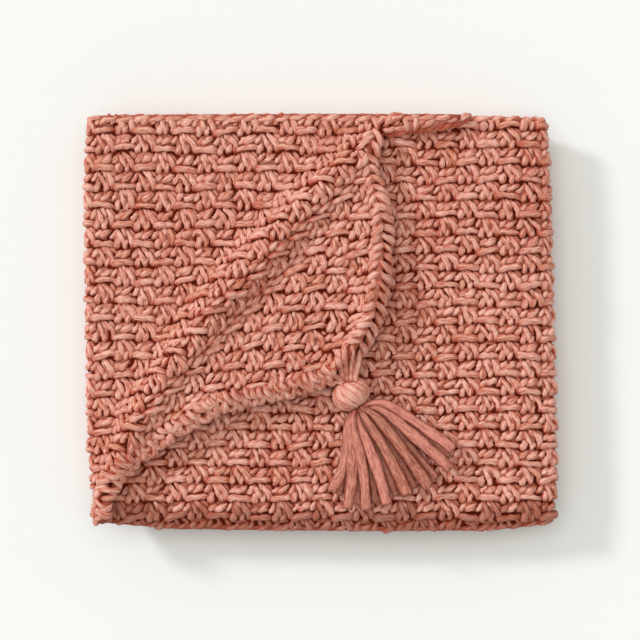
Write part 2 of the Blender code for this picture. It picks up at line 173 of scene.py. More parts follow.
FRONT_HEM = (  # x, y along the flap's front hem, from the front left corner to the tassel
    (-0.2650, -0.2450),
    (-0.2605, -0.2200),
    (-0.2485, -0.1925),
    (-0.2270, -0.1690),
    (-0.1930, -0.1455),
    (-0.1630, -0.1275),
    (-0.1130, -0.1005),
    (-0.0585, -0.0900),
    (-0.0195, -0.0800),
    (0.0120, -0.0690),
    (0.0300, -0.0585),
)
LIP = (  # x, y of the narrow lip that the hem leaves along the back edge
    (0.0750, 0.2310),
    (0.1050, 0.2355),
    (0.1370, 0.2400),
    (0.1800, 0.2480),
)
LIP_FADE = 12 * MM
FLAP_LEVEL, FLAP_RISE = 17 * MM, 45 * MM
HEM_LIFT, HEM_CURL = 5 * MM, 15 * MM
FLAP_WAVE = (0.083, 0.071)
FLAP_UNEVEN = 1.5 * MM
ROLL_HEIGHT, ROLL_INSET, ROLL_WIDE = 8 * MM, 15 * MM, 13 * MM
ROLL_FROM, ROLL_FULL = 0.13, 0.03
print("layers:", len(LAYERS), "crest rows:", len(CREST))

# %% [markdown]
# Three small tools serve all that follows: a soft step, a smooth curve through the rows of a table, and the
# distance of a point from such a curve. The ridge, the hems and the waves of the flap come from them.

# %% Curves and heights
def smooth(t):
    """0 below 0, 1 above 1, and a soft step between."""
    t = np.clip(t, 0, 1)
    return t * t * (3 - 2 * t)


def soft_curve(rows, steps=80):
    """A smooth curve through the rows of a table, every column blended alike."""
    rows = np.array(rows, float)
    rows = np.vstack([2 * rows[0] - rows[1], rows, 2 * rows[-1] - rows[-2]])
    along = np.linspace(0, len(rows) - 3, steps)
    i = np.minimum(along.astype(int), len(rows) - 4)
    t = (along - i)[:, None]
    a, b, c, d = (rows[i + k] for k in range(4))
    return b + 0.5 * t * (c - a + t * (2 * a - 5 * b + 4 * c - d + t * (3 * (b - c) + d - a)))


def at_share(curve, share, places=2):
    """Points on a curve at shares of its length, which is measured in its first two or three columns."""
    step = np.linalg.norm(np.diff(curve[:, :places], axis=0), axis=1)
    along = np.concatenate([[0], np.cumsum(step)]) / step.sum()
    return np.stack([np.interp(share, along, curve[:, k]) for k in range(curve.shape[1])], axis=-1)


def beside(points, curve):
    """How far plan points lie from a curve, positive to its left, and the curve's row beside each."""
    a, b = curve[:-1, :2], curve[1:, :2]
    d = b - a
    away = points[:, None, :] - a
    t = np.clip((away * d).sum(2) / (d * d).sum(1), 0, 1)
    dist = np.linalg.norm(away - t[..., None] * d, axis=2)
    i = dist.argmin(axis=1)
    n = np.arange(len(points))
    side = np.sign(d[i, 0] * away[n, i, 1] - d[i, 1] * away[n, i, 0])
    t = t[n, i][:, None]
    return side * dist[n, i], curve[i] * (1 - t) + curve[i + 1] * t


SIDE_CURVE, END_CURVE = soft_curve(SIDES), soft_curve(ENDS)
CREST_CURVE, LIP_CURVE = soft_curve(CREST), soft_curve(LIP)
SIDE_HEM_CURVE, FRONT_HEM_CURVE = soft_curve(SIDE_HEM), soft_curve(FRONT_HEM)


def side_at(y, column):
    """x of the left (1) or right (2) side at y."""
    return np.interp(-y, -SIDE_CURVE[:, 0], SIDE_CURVE[:, column])


def end_at(x, column):
    """y of the back (1) or front (2) edge at x."""
    return np.interp(x, END_CURVE[:, 0], END_CURVE[:, column])


def run_end(layer, y, side):
    """x of a layer's flat run at its left (-1) or right (1) end."""
    if side < 0:
        return side_at(y, 1) + FOLD_REACH + LAYERS[layer][0]
    return side_at(y, 2) - FOLD_REACH - LAYERS[layer][1]


def lying_height(layer, plan):
    """Height of a layer's middle where it only lies on the one below."""
    x, y = plan[..., 0], plan[..., 1]
    swell = np.sin(math.tau * (x / CROWN_WAVE[0] + 0.1)) * np.sin(math.tau * (y / CROWN_WAVE[1] + 0.35))
    z = CLOTH_THICK / 2 + layer * LAYER_STEP + CROWN * swell * layer / TOP
    if layer > LAST_LOW:
        by_side = np.clip(1 - (side_at(y, 2) - x) / DROOP_SIDE, 0, 1) ** 2 * SINK_SIDE / SINK_FRONT
        by_front = np.clip(1 - (y - end_at(x, 2)) / DROOP_FRONT, 0, 1) ** 2
        z = z - SINK_FRONT * (1 - (1 - by_side) * (1 - by_front))
    return z


def flap_lift(plan):
    """How far the ridge and the flap stand above the top layer's lying height."""
    shape, points = plan.shape[:-1], plan.reshape(-1, 2)
    off, row = beside(points, CREST_CURVE)
    off = off.reshape(shape)
    crest, behind, before, valley = row[:, 2:6].T.reshape(4, *shape)
    bank = crest * smooth(1 + off / behind)
    flap = valley + (crest - valley) * smooth(1 - off / before)
    flap = flap + (FLAP_LEVEL - valley) * smooth((off - before) / FLAP_RISE) * smooth(off / before)
    lift = np.where(off < 0, bank, flap)
    x, y = plan[..., 0], plan[..., 1]
    wave = np.sin(math.tau * x / FLAP_WAVE[0]) * np.sin(math.tau * y / FLAP_WAVE[1])
    lift = lift + FLAP_UNEVEN * wave * smooth(lift / (FLAP_LEVEL / 2))
    to_side, to_front, to_lip = (
        np.abs(beside(points, hem)[0]).reshape(shape) for hem in (SIDE_HEM_CURVE, FRONT_HEM_CURVE, LIP_CURVE)
    )
    roll = smooth(1 - np.abs(to_side - ROLL_INSET) / ROLL_WIDE)
    roll = roll * smooth((ROLL_FROM - y) / (ROLL_FROM - ROLL_FULL))
    lift = lift + ROLL_HEIGHT * roll * smooth(off / before)
    curl = smooth(np.minimum(np.minimum(to_side, to_front), to_lip) / HEM_CURL)
    curl = curl * smooth(1 - (x - LIP[0][0]) / LIP_FADE)
    return HEM_LIFT + (lift - HEM_LIFT) * curl


def cloth_point(layer, plan):
    """Points of the cloth's middle, over plan points."""
    z = lying_height(layer, plan)
    if layer == TOP:
        z = z + flap_lift(plan)
    return np.concatenate([plan, z[..., None]], axis=-1)


print("crest height", round(float(cloth_point(TOP, CREST_CURVE[40:41, :2])[0, 2]), 4))

# %% [markdown]
# ## Nets
# A knitter counts in stitches and rows, not in x and y. So each stretch of cloth gets a net: a table that says,
# for a step across and a step along the knitting, which point of space that is, and which way is out of the
# cloth. Yarn is drawn flat, in the net's own steps, and then laid on it. Over the ridge the net keeps the
# cloth's own length, so that the stitches lie closer together when seen from above, as they do in the photo.

# %% Nets
NET_STEP = 3 * MM
BEND = 11 * MM  # the radius at which the yarn goes round a fold


def unit(v):
    return v / np.maximum(np.linalg.norm(v, axis=-1, keepdims=True), 1e-12)


def net_over(across, along, placed):
    """A net over two ranges; placed(across, along) gives its points."""
    u, v = (np.arange(low, high + NET_STEP, NET_STEP) for low, high in (across, along))
    place = placed(*np.meshgrid(u, v, indexing="ij"))
    out = unit(np.cross(np.gradient(place, axis=0), np.gradient(place, axis=1)))
    return {"start": np.array([u[0], v[0]]), "place": place, "out": out}


def on_net(net, points):
    """Places, and directions out of the cloth, at points between the knots of a net."""
    at = (points - net["start"]) / NET_STEP
    i = np.clip(np.floor(at).astype(int), 0, np.array(net["place"].shape[:2]) - 2)
    s, t = np.moveaxis((at - i)[..., None], -2, 0)
    a, b = i[..., 0], i[..., 1]
    found = []
    for table in (net["place"], net["out"]):
        low = table[a, b] * (1 - s) + table[a + 1, b] * s
        high = table[a, b + 1] * (1 - s) + table[a + 1, b + 1] * s
        found.append(low * (1 - t) + high * t)
    return found[0], unit(found[1])


def round_fold(low_layer, arc, y):
    """Points round the fold over a layer, from the upper layer's end, at distances along its bend."""
    side = -1 if low_layer % 2 == 0 else 1
    ends = []
    for layer in (low_layer, low_layer + 1):
        plan = np.stack([run_end(layer, y, side), y], axis=-1)
        ends.append(cloth_point(layer, plan) if layer < TOP else with_height(plan, lying_height(TOP, plan)))
    low, high = ends
    turn = np.clip(math.pi - arc / BEND, 0, math.pi)
    point = low + (high - low) * ((1 - np.cos(turn)) / 2)[..., None]
    point[..., 0] += side * FOLD_BULGE * np.sin(turn)
    point[..., 0] -= side * (np.maximum(arc - math.pi * BEND, 0) + np.maximum(-arc, 0))
    return point


def with_height(plan, z):
    return np.concatenate([plan, z[..., None]], axis=-1)


# %% [markdown]
# The ridge takes up cloth. For 80 stations along the crest, the length of the cloth is added up on a line across
# the ridge. The table is then read backwards: so far along the cloth is so far in the plan. Along the two long
# edges the net also turns down a little, so that the last stitches hang over the rim, as soft cloth does.

# %% The cloth's own length over the ridge
ACROSS = np.arange(-0.10, 0.30, 1 * MM)
heading = unit(np.gradient(CREST_CURVE[:, :2], axis=0))
CREST_LEFT = np.stack([-heading[:, 1], heading[:, 0]], axis=-1)
STATIONS = np.arange(len(CREST_CURVE))
crest_guide = np.column_stack([CREST_CURVE, STATIONS, CREST_LEFT])
lines = CREST_CURVE[:, None, :2] + CREST_LEFT[:, None] * ACROSS[:, None]
run = np.linalg.norm(np.diff(cloth_point(TOP, lines), axis=1), axis=2)
cloth_run = ACROSS[0] + np.concatenate([np.zeros((len(run), 1)), np.cumsum(run, axis=1)], axis=1)
PLAN_FOR_RUN = np.array([np.interp(ACROSS, r, ACROSS) for r in cloth_run])
print("cloth taken up by the ridge, mm:", np.round((cloth_run[:, 250] - ACROSS[250])[::16] / MM, 1))


def from_knitting(points):
    """Plan points of the top layer for points of its knitting."""
    off, row = beside(points, crest_guide)
    station = np.clip(row[:, 6], 0, len(STATIONS) - 1.001)
    at = np.clip((off - ACROSS[0]) / MM, 0, len(ACROSS) - 1.001)
    i, j = station.astype(int), at.astype(int)
    s, t = station - i, at - j
    table = PLAN_FOR_RUN
    low = table[i, j] * (1 - s) + table[i + 1, j] * s
    high = table[i, j + 1] * (1 - s) + table[i + 1, j + 1] * s
    plan_off = np.where(off < ACROSS[0], off, low * (1 - t) + high * t)
    return points + row[:, 7:9] * (plan_off - off)[:, None]


FRONT_TURN = (13 * MM, 7 * MM)  # how far from the front edge the stitches turn down, and how softly
BACK_TURN = (12 * MM, 7 * MM)


def round_edges(plan):
    """Plan points bent round the front and back rims, and how far down the bend takes them."""
    x, y = plan[..., 0], plan[..., 1]
    bent, deep = y, 0
    for side, edge, (start, bend) in ((-1, end_at(x, 2), FRONT_TURN), (1, end_at(x, 1), BACK_TURN)):
        past = np.maximum(side * (y - edge) + start, 0)
        turn = np.minimum(past / bend, math.pi / 2)
        bent = bent - side * (past - bend * np.sin(turn))
        deep = deep + bend * (1 - np.cos(turn)) + np.maximum(past - bend * math.pi / 2, 0)
    return np.stack([x, bent], axis=-1), deep


def top_place(u, v):
    """The top layer, and the fold at its left."""
    plan = from_knitting(np.stack([u, v], axis=-1).reshape(-1, 2)).reshape(*u.shape, 2)
    plan, deep = round_edges(plan)
    start = run_end(TOP, v, -1)
    fold = round_fold(4, start - u, plan[..., 1])
    place = np.where((u < start)[..., None], fold, cloth_point(TOP, plan))
    place[..., 2] -= deep
    return place


def second_place(u, v):
    """The layer below it, and the fold at its right."""
    plan, deep = round_edges(np.stack([u, v], axis=-1))
    end = run_end(4, v, 1)
    plan[..., 0] = np.minimum(u, end)
    fold = round_fold(3, u - end, plan[..., 1])
    place = np.where((u > end)[..., None], fold, cloth_point(4, plan))
    place[..., 2] -= deep
    return place


top_net = net_over((-0.335, 0.19), (-0.27, 0.27), top_place)
second_net = net_over((-0.27, 0.33), (-0.27, 0.27), second_place)
print("top net", top_net["place"].shape, "second net", second_net["place"].shape)

# %% [markdown]
# ## Yarn
# One short length of yarn is a grid of faces rolled into a tube, its seam closed and its ends capped. The array
# modifier repeats it as often as a piece needs, which is far quicker than making each. Then every copy's rings
# are moved onto a line of its own. The grid's texture coordinates stay on it, so that the fibres can follow it.

# %% A length of yarn
def tube_place(v, sides):
    """The number of a tube's vertex, counted round each ring and ring after ring."""
    return round(v.co.z) * sides + round(math.atan2(v.co.y, v.co.x) / math.tau * sides) % sides


def rolled_tube(sides, rings):
    """A tube of that many sides and rings, one unit in radius, a unit between rings."""
    bm = bmesh.new()
    bm.loops.layers.uv.new("fibre")
    bmesh.ops.create_grid(bm, x_segments=rings - 1, y_segments=sides, size=1.0, calc_uvs=True)
    for v in bm.verts:
        turn = math.pi * (v.co.y + 0.5)
        v.co = (math.cos(turn), math.sin(turn), (v.co.x + 1) / 2 * (rings - 1))
    bmesh.ops.remove_doubles(bm, verts=bm.verts[:], dist=0.01)
    bmesh.ops.holes_fill(bm, edges=[e for e in bm.edges if e.is_boundary], sides=sides)
    bmesh.ops.recalc_face_normals(bm, faces=bm.faces[:])
    bm.verts.sort(key=lambda v: tube_place(v, sides))
    mesh = bpy.data.meshes.new("length_of_yarn")
    bm.to_mesh(mesh)
    bm.free()
    mesh.shade_smooth()
    return mesh


def many(mesh, count):
    """One mesh of that many copies, in order."""
    holder = bpy.data.objects.new("holder", mesh)
    bpy.context.scene.collection.objects.link(holder)
    repeat = holder.modifiers.new("repeat", "ARRAY")
    repeat.count = count
    repeat.use_relative_offset = False
    bpy.context.view_layer.update()
    joined = bpy.data.meshes.new_from_object(holder.evaluated_get(bpy.context.evaluated_depsgraph_get()))
    bpy.data.objects.remove(holder)
    return joined


RIDGE_EDGE = 0.85  # how high on a strand's round the painted light of its top begins; below it the flanks get painted shade


def lay_yarn(name, centres, outs, wide, high, sides, seed, plies=1.0, fray=0.0, tucked=(0.25, 0.25)):
    """Lengths of yarn along centre lines [length, ring], as wide and high as given at each ring.

    plies makes a ring narrower at some of its sides, and fray draws its sides on along the yarn.
    ridge is a painted-shade mask: 1 along the lit top, 0 on the flanks and in the tucked ends, which take the deep
    colour as painted shade.
    """
    count, rings = centres.shape[:2]
    tube = rolled_tube(sides, rings)
    mesh = many(tube, count)
    mesh.name = name
    ahead = unit(np.gradient(centres, axis=1))
    cross = unit(np.cross(outs, ahead))
    lift = np.cross(ahead, cross)
    turn = math.tau * np.arange(sides) / sides
    spread = cross[:, :, None] * (wide[..., None] * np.cos(turn))[..., None]
    raised = lift[:, :, None] * (high[..., None] * np.sin(turn))[..., None]
    shape = np.ones((count, rings, sides))
    placed = centres[:, :, None] + (spread + raised) * (shape * plies)[..., None]
    placed = placed + ahead[:, :, None] * (shape * fray)[..., None]
    placed[..., 2] = np.maximum(placed[..., 2], 0)
    mesh.vertices.foreach_set("co", placed.astype(np.float32).ravel())
    rng = np.random.default_rng(seed)
    length = np.linalg.norm(np.diff(centres, axis=1), axis=2).sum(axis=1)
    girth = math.pi * (wide + high).max(axis=1)
    uv = np.zeros(len(mesh.loops) * 2, np.float32)
    mesh.uv_layers["fibre"].data.foreach_get("uv", uv)
    uv = uv.reshape(count, -1, 2) * np.stack([length, girth], axis=-1)[:, None] / MM
    uv = uv + rng.uniform(0, 500, (count, 1, 2))
    mesh.uv_layers["fibre"].data.foreach_set("uv", uv.astype(np.float32).ravel())
    tone = mesh.attributes.new("tone", "FLOAT", "POINT")
    tones = np.repeat(rng.uniform(-1, 1, count), len(tube.vertices))
    tone.data.foreach_set("value", tones.astype(np.float32))
    # Painted shade: the flanks and the ends tucked under other strands fall to the deep colour.
    share = np.linspace(0, 1, rings)
    lit_between_tucks = smooth(share / tucked[0]) * smooth((1 - share) / tucked[1])
    top = smooth(np.sin(turn) / RIDGE_EDGE)
    ridge = mesh.attributes.new("ridge", "FLOAT", "POINT")
    ridges = np.tile((lit_between_tucks[:, None] * top).ravel(), count)
    ridge.data.foreach_set("value", ridges.astype(np.float32))
    bpy.data.meshes.remove(tube)
    mesh.update()
    obj = bpy.data.objects.new(name, mesh)
    bpy.context.scene.collection.objects.link(obj)
    print(name, count, "lengths,", sum(len(p.vertices) - 2 for p in mesh.polygons), "triangles")
    return obj


def resampled(rows, rings):
    """A soft curve through a strand's rows, in evenly spaced rings."""
    return at_share(soft_curve(rows, 60), np.linspace(0, 1, rings))


# %% [markdown]
# ## Finishes
# The yarn is one thick, barely twisted ply of soft fibres. They show as fine streaks along each strand, so the
# streaks are noise, drawn out along the strand's own texture coordinates. Every strand has its own depth of
# colour, and the dye is a little uneven over the whole blanket. One group holds this, and each finish gives it
# its own colours and strength.

# %% The fibre group
def add(nodes, kind, **values):
    """A shader node with its inputs set by name; a name that is no input is a property."""
    node = nodes.new(kind)
    for key, value in values.items():
        if key in node.inputs:
            node.inputs[key].default_value = value
        else:
            setattr(node, key, value)
    return node


def socket(tree, name, way, kind, value=None):
    made = tree.interface.new_socket(name=name, in_out=way, socket_type=kind)
    if value is not None:
        made.default_value = value
    return made


fibres = bpy.data.node_groups.new("yarn_fibres", "ShaderNodeTree")
socket(fibres, "Along Fibre", "INPUT", "NodeSocketVector")
socket(fibres, "Place", "INPUT", "NodeSocketVector")
socket(fibres, "Tone", "INPUT", "NodeSocketFloat", 0.0)
# Ridge is the mask of painted shade on the strands' flanks and tucked ends.
socket(fibres, "Ridge", "INPUT", "NodeSocketFloat", 1.0)
socket(fibres, "Light Yarn", "INPUT", "NodeSocketColor", (0.8, 0.4, 0.3, 1))
socket(fibres, "Deep Yarn", "INPUT", "NodeSocketColor", (0.5, 0.2, 0.1, 1))
socket(fibres, "Streaks", "INPUT", "NodeSocketFloat", 0.5)
socket(fibres, "Color", "OUTPUT", "NodeSocketColor")
socket(fibres, "Height", "OUTPUT", "NodeSocketFloat")
n, wire = fibres.nodes, fibres.links.new
enter, leave = n.new("NodeGroupInput"), n.new("NodeGroupOutput")
drawn = add(n, "ShaderNodeMapping", Scale=(0.075, 0.34, 1), Rotation=(0, 0, math.radians(8)))
wire(enter.outputs["Along Fibre"], drawn.inputs["Vector"])
streak = add(n, "ShaderNodeTexNoise", Scale=1.0, Detail=3.0, Roughness=0.6)
wire(drawn.outputs["Vector"], streak.inputs["Vector"])
thin = add(n, "ShaderNodeMapping", Scale=(0.16, 1.1, 1), Rotation=(0, 0, math.radians(12)))
wire(enter.outputs["Along Fibre"], thin.inputs["Vector"])
hair = add(n, "ShaderNodeTexNoise", Scale=1.0, Detail=2.0, Roughness=0.7)
wire(thin.outputs["Vector"], hair.inputs["Vector"])
dye = add(n, "ShaderNodeTexNoise", Scale=11.0, Detail=2.0, Roughness=0.5)
wire(enter.outputs["Place"], dye.inputs["Vector"])
both = add(n, "ShaderNodeMix", data_type="FLOAT", Factor=0.45)
wire(streak.outputs["Fac"], both.inputs[2])
wire(hair.outputs["Fac"], both.inputs[3])
centred = add(n, "ShaderNodeMath", operation="SUBTRACT")
centred.inputs[1].default_value = 0.5
wire(both.outputs[0], centred.inputs[0])
marked = add(n, "ShaderNodeMath", operation="MULTIPLY")
wire(centred.outputs[0], marked.inputs[0])
wire(enter.outputs["Streaks"], marked.inputs[1])
toned = add(n, "ShaderNodeMath", operation="MULTIPLY_ADD")
toned.inputs[1].default_value = 0.17
wire(enter.outputs["Tone"], toned.inputs[0])
wire(marked.outputs[0], toned.inputs[2])
dyed = add(n, "ShaderNodeMath", operation="MULTIPLY_ADD", use_clamp=True)
dyed.inputs[1].default_value = 0.5
wire(dye.outputs["Fac"], dyed.inputs[0])
# Ridge moves the flanks and tucked ends towards the deep colour: painted shade.
ridge_shaded_factor = add(n, "ShaderNodeMath", operation="MULTIPLY_ADD")
ridge_shaded_factor.inputs[1].default_value = 0.72
wire(enter.outputs["Ridge"], ridge_shaded_factor.inputs[0])
wire(toned.outputs[0], ridge_shaded_factor.inputs[2])
shifted = add(n, "ShaderNodeMath", operation="ADD")
shifted.inputs[1].default_value = -0.27
wire(ridge_shaded_factor.outputs[0], shifted.inputs[0])
wire(shifted.outputs[0], dyed.inputs[2])
sooner = add(n, "ShaderNodeMath", operation="POWER")  # the middle tones are nearer to the deep colour
sooner.inputs[1].default_value = 1.25
wire(dyed.outputs[0], sooner.inputs[0])
blend = add(n, "ShaderNodeMix", data_type="RGBA")
wire(sooner.outputs[0], blend.inputs["Factor"])
wire(enter.outputs["Deep Yarn"], blend.inputs[6])
wire(enter.outputs["Light Yarn"], blend.inputs[7])
pinker = add(n, "ShaderNodeMath", operation="MULTIPLY_ADD")
pinker.inputs[1].default_value = -0.004
pinker.inputs[2].default_value = 0.5
wire(enter.outputs["Tone"], pinker.inputs[0])
hue = add(n, "ShaderNodeHueSaturation", Saturation=1.0, Value=1.0)
wire(pinker.outputs[0], hue.inputs["Hue"])
wire(blend.outputs[2], hue.inputs["Color"])
wire(hue.outputs["Color"], leave.inputs["Color"])
wire(both.outputs[0], leave.inputs["Height"])
print("fibre group:", len(n), "nodes")

# %% [markdown]
# The stitches, the tassel, the yarn deeper inside and the dark sheet in the gaps share that group. Combed fibres
# have a soft gloss of their own, a little more on the tassel's straight strands. What lies deeper is seen down the
# gaps alone, so its finishes are matt, and redder and darker as painted shade for the light bounced from yarn to
# yarn.

# %% Materials
def yarn_finish(name, light, deep, streaks, bump, gloss):
    made = bpy.data.materials.new(name)
    made.use_nodes = True
    nodes, link = made.node_tree.nodes, made.node_tree.links.new
    shader = nodes["Principled BSDF"]
    shader.inputs["Roughness"].default_value = 0.5
    shader.inputs["Specular IOR Level"].default_value = gloss
    group = nodes.new("ShaderNodeGroup")
    group.node_tree = fibres
    group.inputs["Light Yarn"].default_value = light
    group.inputs["Deep Yarn"].default_value = deep
    group.inputs["Streaks"].default_value = streaks
    link(add(nodes, "ShaderNodeUVMap", uv_map="fibre").outputs["UV"], group.inputs["Along Fibre"])
    link(nodes.new("ShaderNodeTexCoord").outputs["Object"], group.inputs["Place"])
    link(add(nodes, "ShaderNodeAttribute", attribute_name="tone").outputs["Fac"], group.inputs["Tone"])
    link(add(nodes, "ShaderNodeAttribute", attribute_name="ridge").outputs["Fac"], group.inputs["Ridge"])
    link(group.outputs["Color"], shader.inputs["Base Color"])
    raised = add(nodes, "ShaderNodeBump", Strength=bump, Distance=1.8 * MM)
    link(group.outputs["Height"], raised.inputs["Height"])
    link(raised.outputs["Normal"], shader.inputs["Normal"])
    return made


LIGHT_CORAL = (0.950, 0.530, 0.410, 1)
DEEP_CORAL = (0.540, 0.095, 0.045, 1)
yarn = yarn_finish("stitch_yarn", LIGHT_CORAL, DEEP_CORAL, 4.6, 1.0, 0.30)
# Darker copies of the yarn, painted shade: the fillings and ropes down the gaps, a little lighter on the top layer.
inner_yarn = yarn_finish("inner_yarn", (0.66, 0.24, 0.16, 1), (0.38, 0.080, 0.045, 1), 2.0, 0.9, 0.10)
upper_inner = yarn_finish("inner_yarn_above", (0.82, 0.37, 0.27, 1), (0.46, 0.11, 0.062, 1), 2.0, 0.9, 0.10)
# The front rim's yarn is darker: painted shade where the cloth hangs down.
rim_shade_yarn = yarn_finish("rim_shade_yarn", (0.57, 0.255, 0.184, 1), (0.40, 0.075, 0.039, 1), 4.0, 1.0, 0.15)
tassel_yarn = yarn_finish("skein_yarn", LIGHT_CORAL, DEEP_CORAL, 4.2, 1.0, 0.35)
# The skirt's yarn is a darker copy of the head's: painted shade between its strands.
skirt_shade_yarn = yarn_finish("skirt_shade_yarn", (0.77, 0.30, 0.215, 1), (0.26, 0.040, 0.021, 1), 3.6, 0.7, 0.35)
# A dark sheet and ball that show down the gaps: painted shade, not a cloth of their own.
gap_shade = yarn_finish("gap_shade_yarn", (0.24, 0.038, 0.017, 1), (0.14, 0.018, 0.008, 1), 0.5, 0.5, 0.0)
print("materials:", len(bpy.data.materials), "with the floor's")


def finish_piece(obj, material):
    obj.data.materials.clear()
    obj.data.materials.append(material)
    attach(obj, "root")
    return obj


# %% [markdown]
# ## The stitches
# The knitting is a chequer of two tiles, each two stitches wide and two rows high. On one, three slanted loops
# lie over a long strand that floats in front of two stitches. On the other, two pairs of legs stand upright,
# each leg with a round foot at its left. Each tile is charted once, in shares of its size, from a strand's
# lower end to its upper end. The height is over the middle of the cloth.

# %% The two tiles
FLOAT_TILE = (  # across, down (shares of the tile), height, radius (mm), one block for each strand
    ((-0.03, 0.51, 0.2, 1.6), (0.08, 0.42, 2.6, 3.2), (0.24, 0.27, 3.4, 3.7), (0.42, 0.08, 0.4, 1.6)),
    ((0.27, 0.52, 0.4, 1.8), (0.42, 0.42, 3.4, 3.8), (0.62, 0.28, 4.4, 4.6), (0.90, 0.05, 0.8, 1.8)),
    ((0.80, 0.51, 0.4, 1.8), (0.92, 0.42, 3.2, 3.3), (1.04, 0.25, 3.0, 3.2), (1.13, 0.00, 0.4, 1.8)),
    (
        (-0.10, 0.84, 0.0, 2.4),
        (0.05, 0.77, 4.8, 4.7),
        (0.23, 0.73, 5.4, 4.6),
        (0.46, 0.74, 4.8, 4.1),
        (0.70, 0.72, 5.4, 4.5),
        (0.93, 0.76, 3.4, 3.9),
        (1.10, 0.86, -1.0, 2.0),
    ),
)
LEG_TILE = (
    ((0.14, 1.01, 0.6, 2.8), (0.16, 0.88, 3.8, 4.4), (0.20, 0.70, 4.2, 4.3), (0.28, 0.44, 0.4, 1.6)),
    (
        (0.14, -0.12, -0.6, 1.8),
        (0.26, 0.14, 2.6, 3.0),
        (0.38, 0.42, 4.4, 3.5),
        (0.48, 0.70, 3.4, 3.4),
        (0.53, 0.96, 0.2, 2.0),
    ),
    ((0.36, -0.16, 0.6, 1.8), (0.49, 0.10, 3.4, 2.9), (0.64, 0.42, 0.2, 1.8)),
    (
        (0.49, -0.12, -0.2, 1.8),
        (0.66, 0.14, 3.6, 3.3),
        (0.84, 0.40, 5.0, 4.1),
        (0.91, 0.66, 4.2, 4.0),
        (0.87, 0.92, 0.4, 2.6),
    ),
    ((0.56, 1.01, 0.6, 2.4), (0.57, 0.85, 3.8, 3.6), (0.62, 0.68, 3.4, 3.2), (0.68, 0.48, 0.6, 1.6)),
)
FLOAT_BELOW = (
    ((-0.10, 0.52, -1.6, 2.4), (0.15, 0.50, -0.6, 3.4), (0.60, 0.47, -0.6, 3.4), (1.05, 0.50, -1.8, 2.6)),
    ((0.02, 0.20, -2.0, 3.0), (0.36, 0.12, -0.8, 3.6), (0.74, 0.10, -1.0, 3.4), (0.94, 0.16, -2.2, 2.4)),
)
LEG_BELOW = (
    ((0.12, 0.06, -1.8, 2.8), (0.16, 0.30, -0.2, 3.6), (0.16, 0.60, -0.8, 3.4), (0.30, 0.94, -1.6, 2.8)),
    ((0.56, 0.10, -1.4, 3.0), (0.62, 0.40, -0.2, 3.6), (0.62, 0.70, -0.6, 3.4), (0.66, 0.94, -1.8, 2.6)),
    ((0.72, -0.08, -0.6, 2.6), (0.91, 0.12, 1.6, 3.6), (1.04, 0.36, -0.4, 2.6)),
)


def chequer(columns, rows, corner, tile, rings, tables=(FLOAT_TILE, LEG_TILE)):
    """All strands of a chequer of tiles, as lines of (across, along, height, radius) in metres."""
    found = []
    i, j = np.meshgrid(np.arange(*columns), np.arange(*rows), indexing="ij")
    for kind, table in enumerate(tables):
        lines = np.array([resampled(strand, rings) for strand in table])
        lines = lines * (tile[0], -tile[1], MM, MM)
        spot = (i + j) % 2 == kind
        shift = np.zeros((spot.sum(), 1, 1, 4))
        shift[:, 0, 0, 0] = corner[0] + i[spot] * tile[0]
        shift[:, 0, 0, 1] = corner[1] - j[spot] * tile[1]
        found.append((lines + shift).reshape(-1, rings, 4))
    return np.concatenate(found)


WAVER, WAVE = 24 * MM, 1.1 * MM  # rows and columns wander by this much
LUMPY, CROOKED = 0.13, 0.36 * MM  # how uneven a strand is along its length


def by_hand(lines, seed, shift=0.6 * MM, lift=0.45 * MM, thick=0.08, slant=0.0):
    """The same strands, each a little off its place, height and thickness, as no hand knits evenly.

    slant raises each strand's right end and leans its upper end to the right, as cloth pulled askew does.
    """
    rng = np.random.default_rng(seed)
    count = len(lines)
    lines = lines.copy()
    x, y = lines[..., 0] / WAVER, lines[..., 1] / WAVER
    lines[..., 0] += WAVE * np.sin(y + 1.5 * np.sin(0.6 * x))
    lines[..., 1] += WAVE * np.sin(x + 1.7 * np.sin(0.5 * y))
    lines[..., :2] += rng.normal(0, shift, (count, 1, 2))
    lean = np.tan(rng.normal(0, math.radians(5), (count, 1)))
    off = lines[..., :2] - lines[..., :2].mean(axis=1, keepdims=True)
    lines[..., 0] += (slant - lean) * off[..., 1]
    lines[..., 1] += (slant + lean) * off[..., 0]
    lines[..., 2] += rng.normal(0, lift, (count, 1))
    lines[..., 3] *= rng.normal(1, thick, (count, 1)).clip(0.8, 1.25)
    lines[..., 3] *= rng.normal(1, LUMPY, lines.shape[:2]).clip(0.75, 1.3)
    lines[..., :2] += rng.normal(0, CROOKED, (*lines.shape[:2], 2))
    return lines


print("strands: float tile", len(FLOAT_TILE), "leg tile", len(LEG_TILE))

# %% Laying the stitches on the cloth
FLAT = 0.9  # a strand is a little lower than it is wide


def lay(name, lines, net, keep, sides, seed, material=yarn):
    """Lays strands, drawn in a net's steps, on that net, where keep(the places of their middles) says so."""
    place, out = on_net(net, lines[..., :2])
    kept = keep(place[:, lines.shape[1] // 2])
    place, out, lines = place[kept], out[kept], lines[kept]
    centres = place + out * lines[..., 2:3]
    radius = lines[..., 3]
    obj = lay_yarn(name, centres, out, radius, radius * FLAT, sides, seed)
    return finish_piece(obj, material)


def inside(points, outline):
    """Which plan points lie inside a closed outline."""
    x, y = points[:, 0, None], points[:, 1, None]
    (ax, ay), (bx, by) = outline.T, np.roll(outline, -1, axis=0).T
    with np.errstate(divide="ignore", invalid="ignore"):
        crossed = ((ay > y) != (by > y)) & (x < (bx - ax) * (y - ay) / (by - ay) + ax)
    return crossed.sum(axis=1) % 2 == 1


